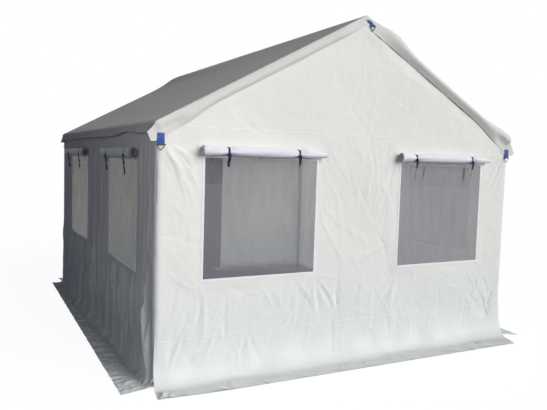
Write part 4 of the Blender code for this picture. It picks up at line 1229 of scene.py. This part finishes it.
def tieTail(name, place, along, up, out, way, reach, sway, width):
    path, across = [], []
    for k in range(15):
        t = k / 14
        swing = 0.006 * way * math.sin(t * 2.6) * sway + 0.003 * way + 0.002 * math.sin(7 * t + way)
        off = out + 0.004 - 0.012 * t + 0.003 * math.sin(5 * t)
        path.append(place(along + swing, up - 0.002 - reach * t, off))
        twist = 0.9 * way * math.sin(2.4 * t * sway) + 0.25 * math.sin(5 * t)
        across.append(wayOn(place, width * math.cos(twist), 0, width * math.sin(twist)))
    return ribbon(name, path, across, 0.0011, tieTape)


def makeTie(name, place, along, height, radius, style, seed):
    # the loop round the roll, its knot and its tails
    draw = np.random.default_rng(seed)
    outward = radius + window["rollOff"]
    drawn = radius * (1 - window["pinch"]) + window["tieDepth"]
    up = height - (drawn + 0.005) * math.sin(window["knotAt"])
    out = outward + (drawn + 0.005) * math.cos(window["knotAt"])
    parts = [tieLoop(name + "Loop", place, along, height, outward, drawn, style)]
    if style == "knot":
        parts.append(tieKnot(name + "Knot", place, along, up, out))
        tails = [(way, draw.uniform(*lengths)) for way, lengths in window["tails"].items()]
    else:
        tails = [(0, window["flatTail"])]
    for way, reach in tails:
        parts.append(tieTail(name + f"Tail{way}", place, along, up, out, way, reach, draw.uniform(0.4, 1.0),
                             window["tailWidths"][style]))
    return joined(name, parts)


def makeWindow(label, node, place, span, sill, head, styles, seed):
    which = node.split("_")[0]
    atFront = which == "front"
    overlap = window["rollOverlap"]
    reach = (span[0] - overlap + atFront * window["frontShort"], span[1] + overlap)
    length = reach[1] - reach[0]
    height = head + window["rollRise"]
    radius = window["rollRadius"]
    insets = window["tieInsets"][label if atFront else "other"]
    net = makeNet(label + "Net", place, span, sill, head)
    binding = makeBinding(label + "Binding", place, span, sill, head)
    # the side windows' rolls take that darker copy: painted shade
    finish, taper = (rollCloth, window["frontTaper"]) if atFront else (shadedSideRollCloth, 0.0)
    roll = makeRoll(label + "Roll", place, reach, height, radius, seed, finish, insets, taper)
    ties = [makeTie(f"{label}Tie{k + 1}", place, reach[0] + inset, height, radius, style, seed + k)
            for k, (inset, style) in enumerate(zip((insets[0], length - insets[1]), styles))]
    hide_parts(node + "_net")
    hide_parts(node + "_roll")
    for piece in (net, binding, roll, *ties):
        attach(piece, "front_arch")
        if not atFront:
            foldWithFrame(piece)


frontPlace = placeOn((0, -halfLength, 0), (1, 0, 0), (0, -1, 0))
for label, span, styles in zip(sides, gableWindows, (("flat", "knot"), ("knot", "knot"))):
    makeWindow(f"front{label.capitalize()}", f"front_{label}_window", frontPlace, span, gableSill, gableHead,
               styles, 200 + len(label))
for label, side in sides.items():
    place = placeOn((side * halfWidth, 0, 0), (0, 1, 0), (side, 0, 0))
    for where, span in sideWindows.items():
        makeWindow(f"{label}{where.capitalize()}", f"{label}_{where}_window", place, span, sideSill, sideHead,
                   ("knot", "knot"), 300 + 10 * side + len(where))
print("windows made")


# Doorway: rolled door over the opening

door = {
    "radius": 0.047,
    "rise": 0.010,
    "wound": 1.20,  # length of the cloth that is wound in the roll
}
rearPlace = placeOn((0, halfLength, 0), (-1, 0, 0), (0, 1, 0))
doorReach = gable["doorWidth"] / 2 + window["rollOverlap"]
doorHeight = gable["doorHead"] + door["rise"]
doorInsets = window["tieInsets"]["other"]
doorRoll = makeRoll("doorRoll", rearPlace, (-doorReach, doorReach), doorHeight, door["radius"], 401,
                    rollCloth, doorInsets, 0.0)
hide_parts("rear_door_roll")
doorTies = [makeTie(f"doorTie{k + 1}", rearPlace, at, doorHeight, door["radius"], "knot", 403 + k)
            for k, at in enumerate((doorInsets[0] - doorReach, doorReach - doorInsets[1]))]
for piece in (doorRoll, *doorTies):
    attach(piece, "rear_arch")
print("door roll made")


# Webbing tabs that hold the rings

tab = {
    "depth": 0.0026,
    "eye": 0.0060,
    "wire": 0.0025,  # radius of the ring's bar
    "corner": (0.056, 0.082),  # width and length
    "peak": (0.046, 0.045),
    "lean": 1.35,
    "turn": math.radians(240),  # how far the webbing goes round the ring's bar
    "gap": 0.0002,
    "closed": 0.030,  # how high its end lies on itself
    "drawnIn": 0.94,  # share of its width where it goes round the bar
    "stitches": 9,  # in each row
    "thread": 0.0006,
}
stitchCorners = [(-0.42, 0.60), (0.42, 0.60), (-0.42, 0.95), (0.42, 0.95)]  # shares of width and length
stitchRows = [(2, 3), (0, 1), (0, 3), (2, 1), (0, 2), (1, 3)]  # two rows, a cross and two sides


def tabStitches(point, face, width, length):
    made = []
    for k, (first, last) in enumerate(stitchRows):
        (a0, b0), (a1, b1) = stitchCorners[first], stitchCorners[last]
        for s in range(tab["stitches"]):
            spots = []
            for t in ((s + 0.15) / tab["stitches"], (s + 0.80) / tab["stitches"]):
                aside, up = (a0 + (a1 - a0) * t) * width, (b0 + (b1 - b0) * t) * length
                spots.append(point(face, up) + Vector((aside, 0, 0)))
            way = (spots[1] - spots[0]).normalized()
            half = way.cross(Vector((0, 1, 0))).normalized() * tab["thread"]
            made.append(ribbon(f"stitch{k}{s}", spots, [half, half], tab["thread"], stitchThread, False))
    return made


def makeTab(label, where, end):
    low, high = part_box(f"{label}_{where}_ring")
    eyeX, eyeY = (low.x + high.x) / 2, (low.y + high.y) / 2
    eyeZ = high.z - tab["wire"]
    width, length = tab["peak"] if where == "peak" else tab["corner"]
    lean = tab["lean"] if where == "peak" else 0.0
    wrap = tab["eye"] - tab["depth"] / 2

    def point(inward, up):
        return Vector((eyeX - lean * max(up - tab["eye"], 0.0), eyeY - end * inward, eyeZ + up))

    # down behind, round under the ring's bar, and up again to lie on itself
    path = [point(wrap + tab["gap"], length * (1 - k / 8)) for k in range(8)]
    for k in range(19):
        turn = tab["turn"] * k / 18
        path.append(point(wrap * math.cos(turn), -wrap * math.sin(turn)))
    rise = min(tab["closed"], length - 0.006)
    closed = -wrap * math.sin(tab["turn"])
    for k in range(1, 8):
        path.append(point(wrap - tab["depth"] - tab["gap"], closed + (rise - closed) * k / 7))
    half, narrow = Vector((width / 2, 0, 0)), tab["drawnIn"]
    across = [half * (narrow + (1 - narrow) * float(ease(0.004, 0.012, spot.z - eyeZ))) for spot in path]
    name = f"{label}{where.capitalize()}Tab"
    band = ribbon(name + "Band", path, across, tab["depth"], webbing)
    face = wrap - tab["depth"] / 2 - 0.0003
    made = joined(name, [band, *tabStitches(point, face, width, length)])
    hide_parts(f"{label}_{where}_tab")
    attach(made, f"{label}_arch")


for label, end in ends.items():
    for where in ("left", "peak", "right"):
        makeTab(label, where, end)
print("tabs made")


# Frame pieces keep their shape and get their own finish

for name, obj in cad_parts.items():
    for spot in obj.material_slots:
        plain = spot.material.name.split(".")[0] if spot.material else ""
        if plain in frameFinishes:
            spot.material = frameFinishes[plain]
        elif "ring" in name:
            spot.material = frameFinishes["ring_wire"]
print("frame finished")


# Floor, light and camera

light = {
    "sun": 3.40,
    "sunFrom": (0.48, -0.78, 0.385),
    "sunSpread": 58,  # degrees
    "fill": 28.0,  # watts, of the soft box near the front left corner
    "fillAt": (-4.4, -4.7, 2.4),
    "fillTowards": (2.7, 4.2, -1.1),
    "fillSize": (1.1, 1.1),
    "back": 1.1,
    "backFrom": (0.30, 0.90, 0.12),
    "softSpread": 30,
    "sky": 0.074,
    "skyLow": (0.64, 0.76, 1.16),
    "skyHigh": (1.04, 1.03, 1.0),
    "throughLeft": 1.45,  # the light that the left and the front cloth let through
    "throughLeftFrom": (-0.93, -0.10, 0.35),
    "throughFront": 1.12,
    "throughFrontFrom": (-0.05, -0.93, 0.35),
}
floorLook = {
    "half": 30.0,
    "drop": 0.0008,
    "white": 0.92,
    "pastOne": (0.035, 0.035, 0.040),  # what shows through one net, and through two
    "pastTwo": (0.62, 0.62, 0.64),
    "under": (0.40, 0.40, 0.41),  # the ground under the cover, and the open ground
    "open": (0.085, 0.090, 0.110),
    "openBetween": (0.12, 0.36),
    "openReach": 2.5,
}


def backdrop(tree, strength):
    # white to the eye and in reflections; dark through one net, where the eye meets it past the doorway,
    # and grey through two, beyond the far windows
    path = addNode(tree, "ShaderNodeLightPath").outputs
    seen = math2(tree, "MAXIMUM", path["Is Camera Ray"],
                 math2(tree, "MAXIMUM", path["Is Glossy Ray"], path["Is Transmission Ray"]))
    pastOne = math2(tree, "MULTIPLY", path["Transparent Depth"], 1.0, clamp=True)
    pastTwo = math2(tree, "GREATER_THAN", path["Transparent Depth"], 1.5)
    colour = mixColour(tree, pastOne, (strength, strength, strength), floorLook["pastOne"])
    return seen, mixColour(tree, pastTwo, colour, floorLook["pastTwo"])


def makeFloor():
    half = floorLook["half"]
    points = np.array([[(x, y, -floorLook["drop"]) for y in (-half, half)] for x in (-half, half)])
    floor = addObject("floor", gridMesh("floor", points, (0, 0, 1)), None)
    made = bpy.data.materials.new("floorWhite")
    made.use_nodes = True
    tree = made.node_tree
    tree.nodes.clear()
    seen, colour = backdrop(tree, floorLook["white"])
    # the ground under the cover isn't lit as the open ground is; painted shade: its white glow is cut where
    # ambient occlusion finds cover over or beside it, also along the walls' foot
    reach = {"Distance": floorLook["openReach"]}
    openTo = addNode(tree, "ShaderNodeAmbientOcclusion", {"samples": 8}, reach).outputs["AO"]
    unshadedShare = rampOf(tree, openTo, floorLook["openBetween"])
    ground = mixColour(tree, unshadedShare, floorLook["under"], floorLook["open"])
    plain = addNode(tree, "ShaderNodeBsdfDiffuse", links={"Color": ground})
    shown = math2(tree, "MULTIPLY", seen, unshadedShare)
    white = addNode(tree, "ShaderNodeEmission", links={"Color": colour, "Strength": shown})
    total = addNode(tree, "ShaderNodeAddShader", links={0: plain.outputs[0], 1: white.outputs[0]})
    addNode(tree, "ShaderNodeOutputMaterial", links={"Surface": total.outputs[0]})
    floor.data.materials.append(made)
    return floor


def makeSky():
    world = bpy.data.worlds.new("studio")
    bpy.context.scene.world = world
    world.use_nodes = True
    tree = world.node_tree
    tree.nodes.clear()
    way = addNode(tree, "ShaderNodeTexCoord").outputs["Generated"]
    height = addNode(tree, "ShaderNodeSeparateXYZ", links={0: way}).outputs[2]
    upwards = math2(tree, "MULTIPLY", height, 1.0, clamp=True)
    tint = mixColour(tree, upwards, light["skyLow"], light["skyHigh"])
    soft = addNode(tree, "ShaderNodeBackground", inputs={"Strength": light["sky"]}, links={"Color": tint})
    seen, colour = backdrop(tree, 1.0)
    white = addNode(tree, "ShaderNodeBackground", inputs={"Strength": 1.0}, links={"Color": colour})
    mixed = addNode(tree, "ShaderNodeMixShader", links={0: seen, 1: soft.outputs[0], 2: white.outputs[0]})
    addNode(tree, "ShaderNodeOutputWorld", links={"Surface": mixed.outputs[0]})


def makeSun(name, strength, comesFrom, spread):
    lamp = bpy.data.lights.new(name, "SUN")
    lamp.energy = strength
    lamp.angle = math.radians(spread)
    obj = bpy.data.objects.new(name, lamp)
    obj.rotation_euler = Vector(comesFrom).to_track_quat("Z", "Y").to_euler()
    bpy.context.scene.collection.objects.link(obj)
    return obj


def makeThrough(name, lit):
    # sunlight that comes through the cloth and falls on the inner sides across from it
    lamp = makeSun(name, light[name], light[name + "From"], light["softSpread"])
    lamp.data.use_shadow = False
    group = bpy.data.collections.new(name)
    for obj in lit:
        group.objects.link(obj)
    lamp.light_linking.receiver_collection = group


def makeFill():
    lamp = bpy.data.lights.new("fill", "AREA")
    lamp.energy = light["fill"]
    lamp.shape = "RECTANGLE"
    lamp.size, lamp.size_y = light["fillSize"]
    obj = bpy.data.objects.new("fill", lamp)
    obj.location = light["fillAt"]
    obj.rotation_euler = Vector(light["fillTowards"]).to_track_quat("-Z", "Y").to_euler()
    obj.visible_camera = False
    obj.visible_glossy = False
    bpy.context.scene.collection.objects.link(obj)


view = {
    "place": (-3.081, -6.168, 1.691),
    "yaw": 0.494,  # radians
    "dip": -0.0752,
    "roll": 0.0299,
    "focal": 598.29,  # in pixels of a picture 547 wide
}


def makeCamera():
    yaw, dip, roll = view["yaw"], view["dip"], view["roll"]
    ahead = Vector((math.sin(yaw) * math.cos(dip), math.cos(yaw) * math.cos(dip), math.sin(dip)))
    right = Vector((math.cos(yaw), -math.sin(yaw), 0))
    up = right.cross(ahead)
    tiltedRight = right * math.cos(roll) + up * math.sin(roll)
    tiltedUp = up * math.cos(roll) - right * math.sin(roll)
    camera = bpy.data.cameras.new("camera")
    camera.sensor_width = 36
    camera.lens = view["focal"] / 547 * 36
    camera.clip_end = 200
    obj = bpy.data.objects.new("camera", camera)
    turn = Matrix((tiltedRight, tiltedUp, -ahead)).transposed()
    obj.matrix_world = Matrix.Translation(view["place"]) @ turn.to_4x4()
    bpy.context.scene.collection.objects.link(obj)
    bpy.context.scene.camera = obj


floor = makeFloor()
makeSky()
makeSun("key", light["sun"], light["sunFrom"], light["sunSpread"])
makeFill()
makeSun("back", light["back"], light["backFrom"], light["softSpread"])
makeThrough("throughLeft", [bpy.data.objects["rightWall"], floor])
makeThrough("throughFront", [rearWall, floor])
makeCamera()
bpy.context.scene.view_settings.view_transform = "Standard"
print("stage and lights made")
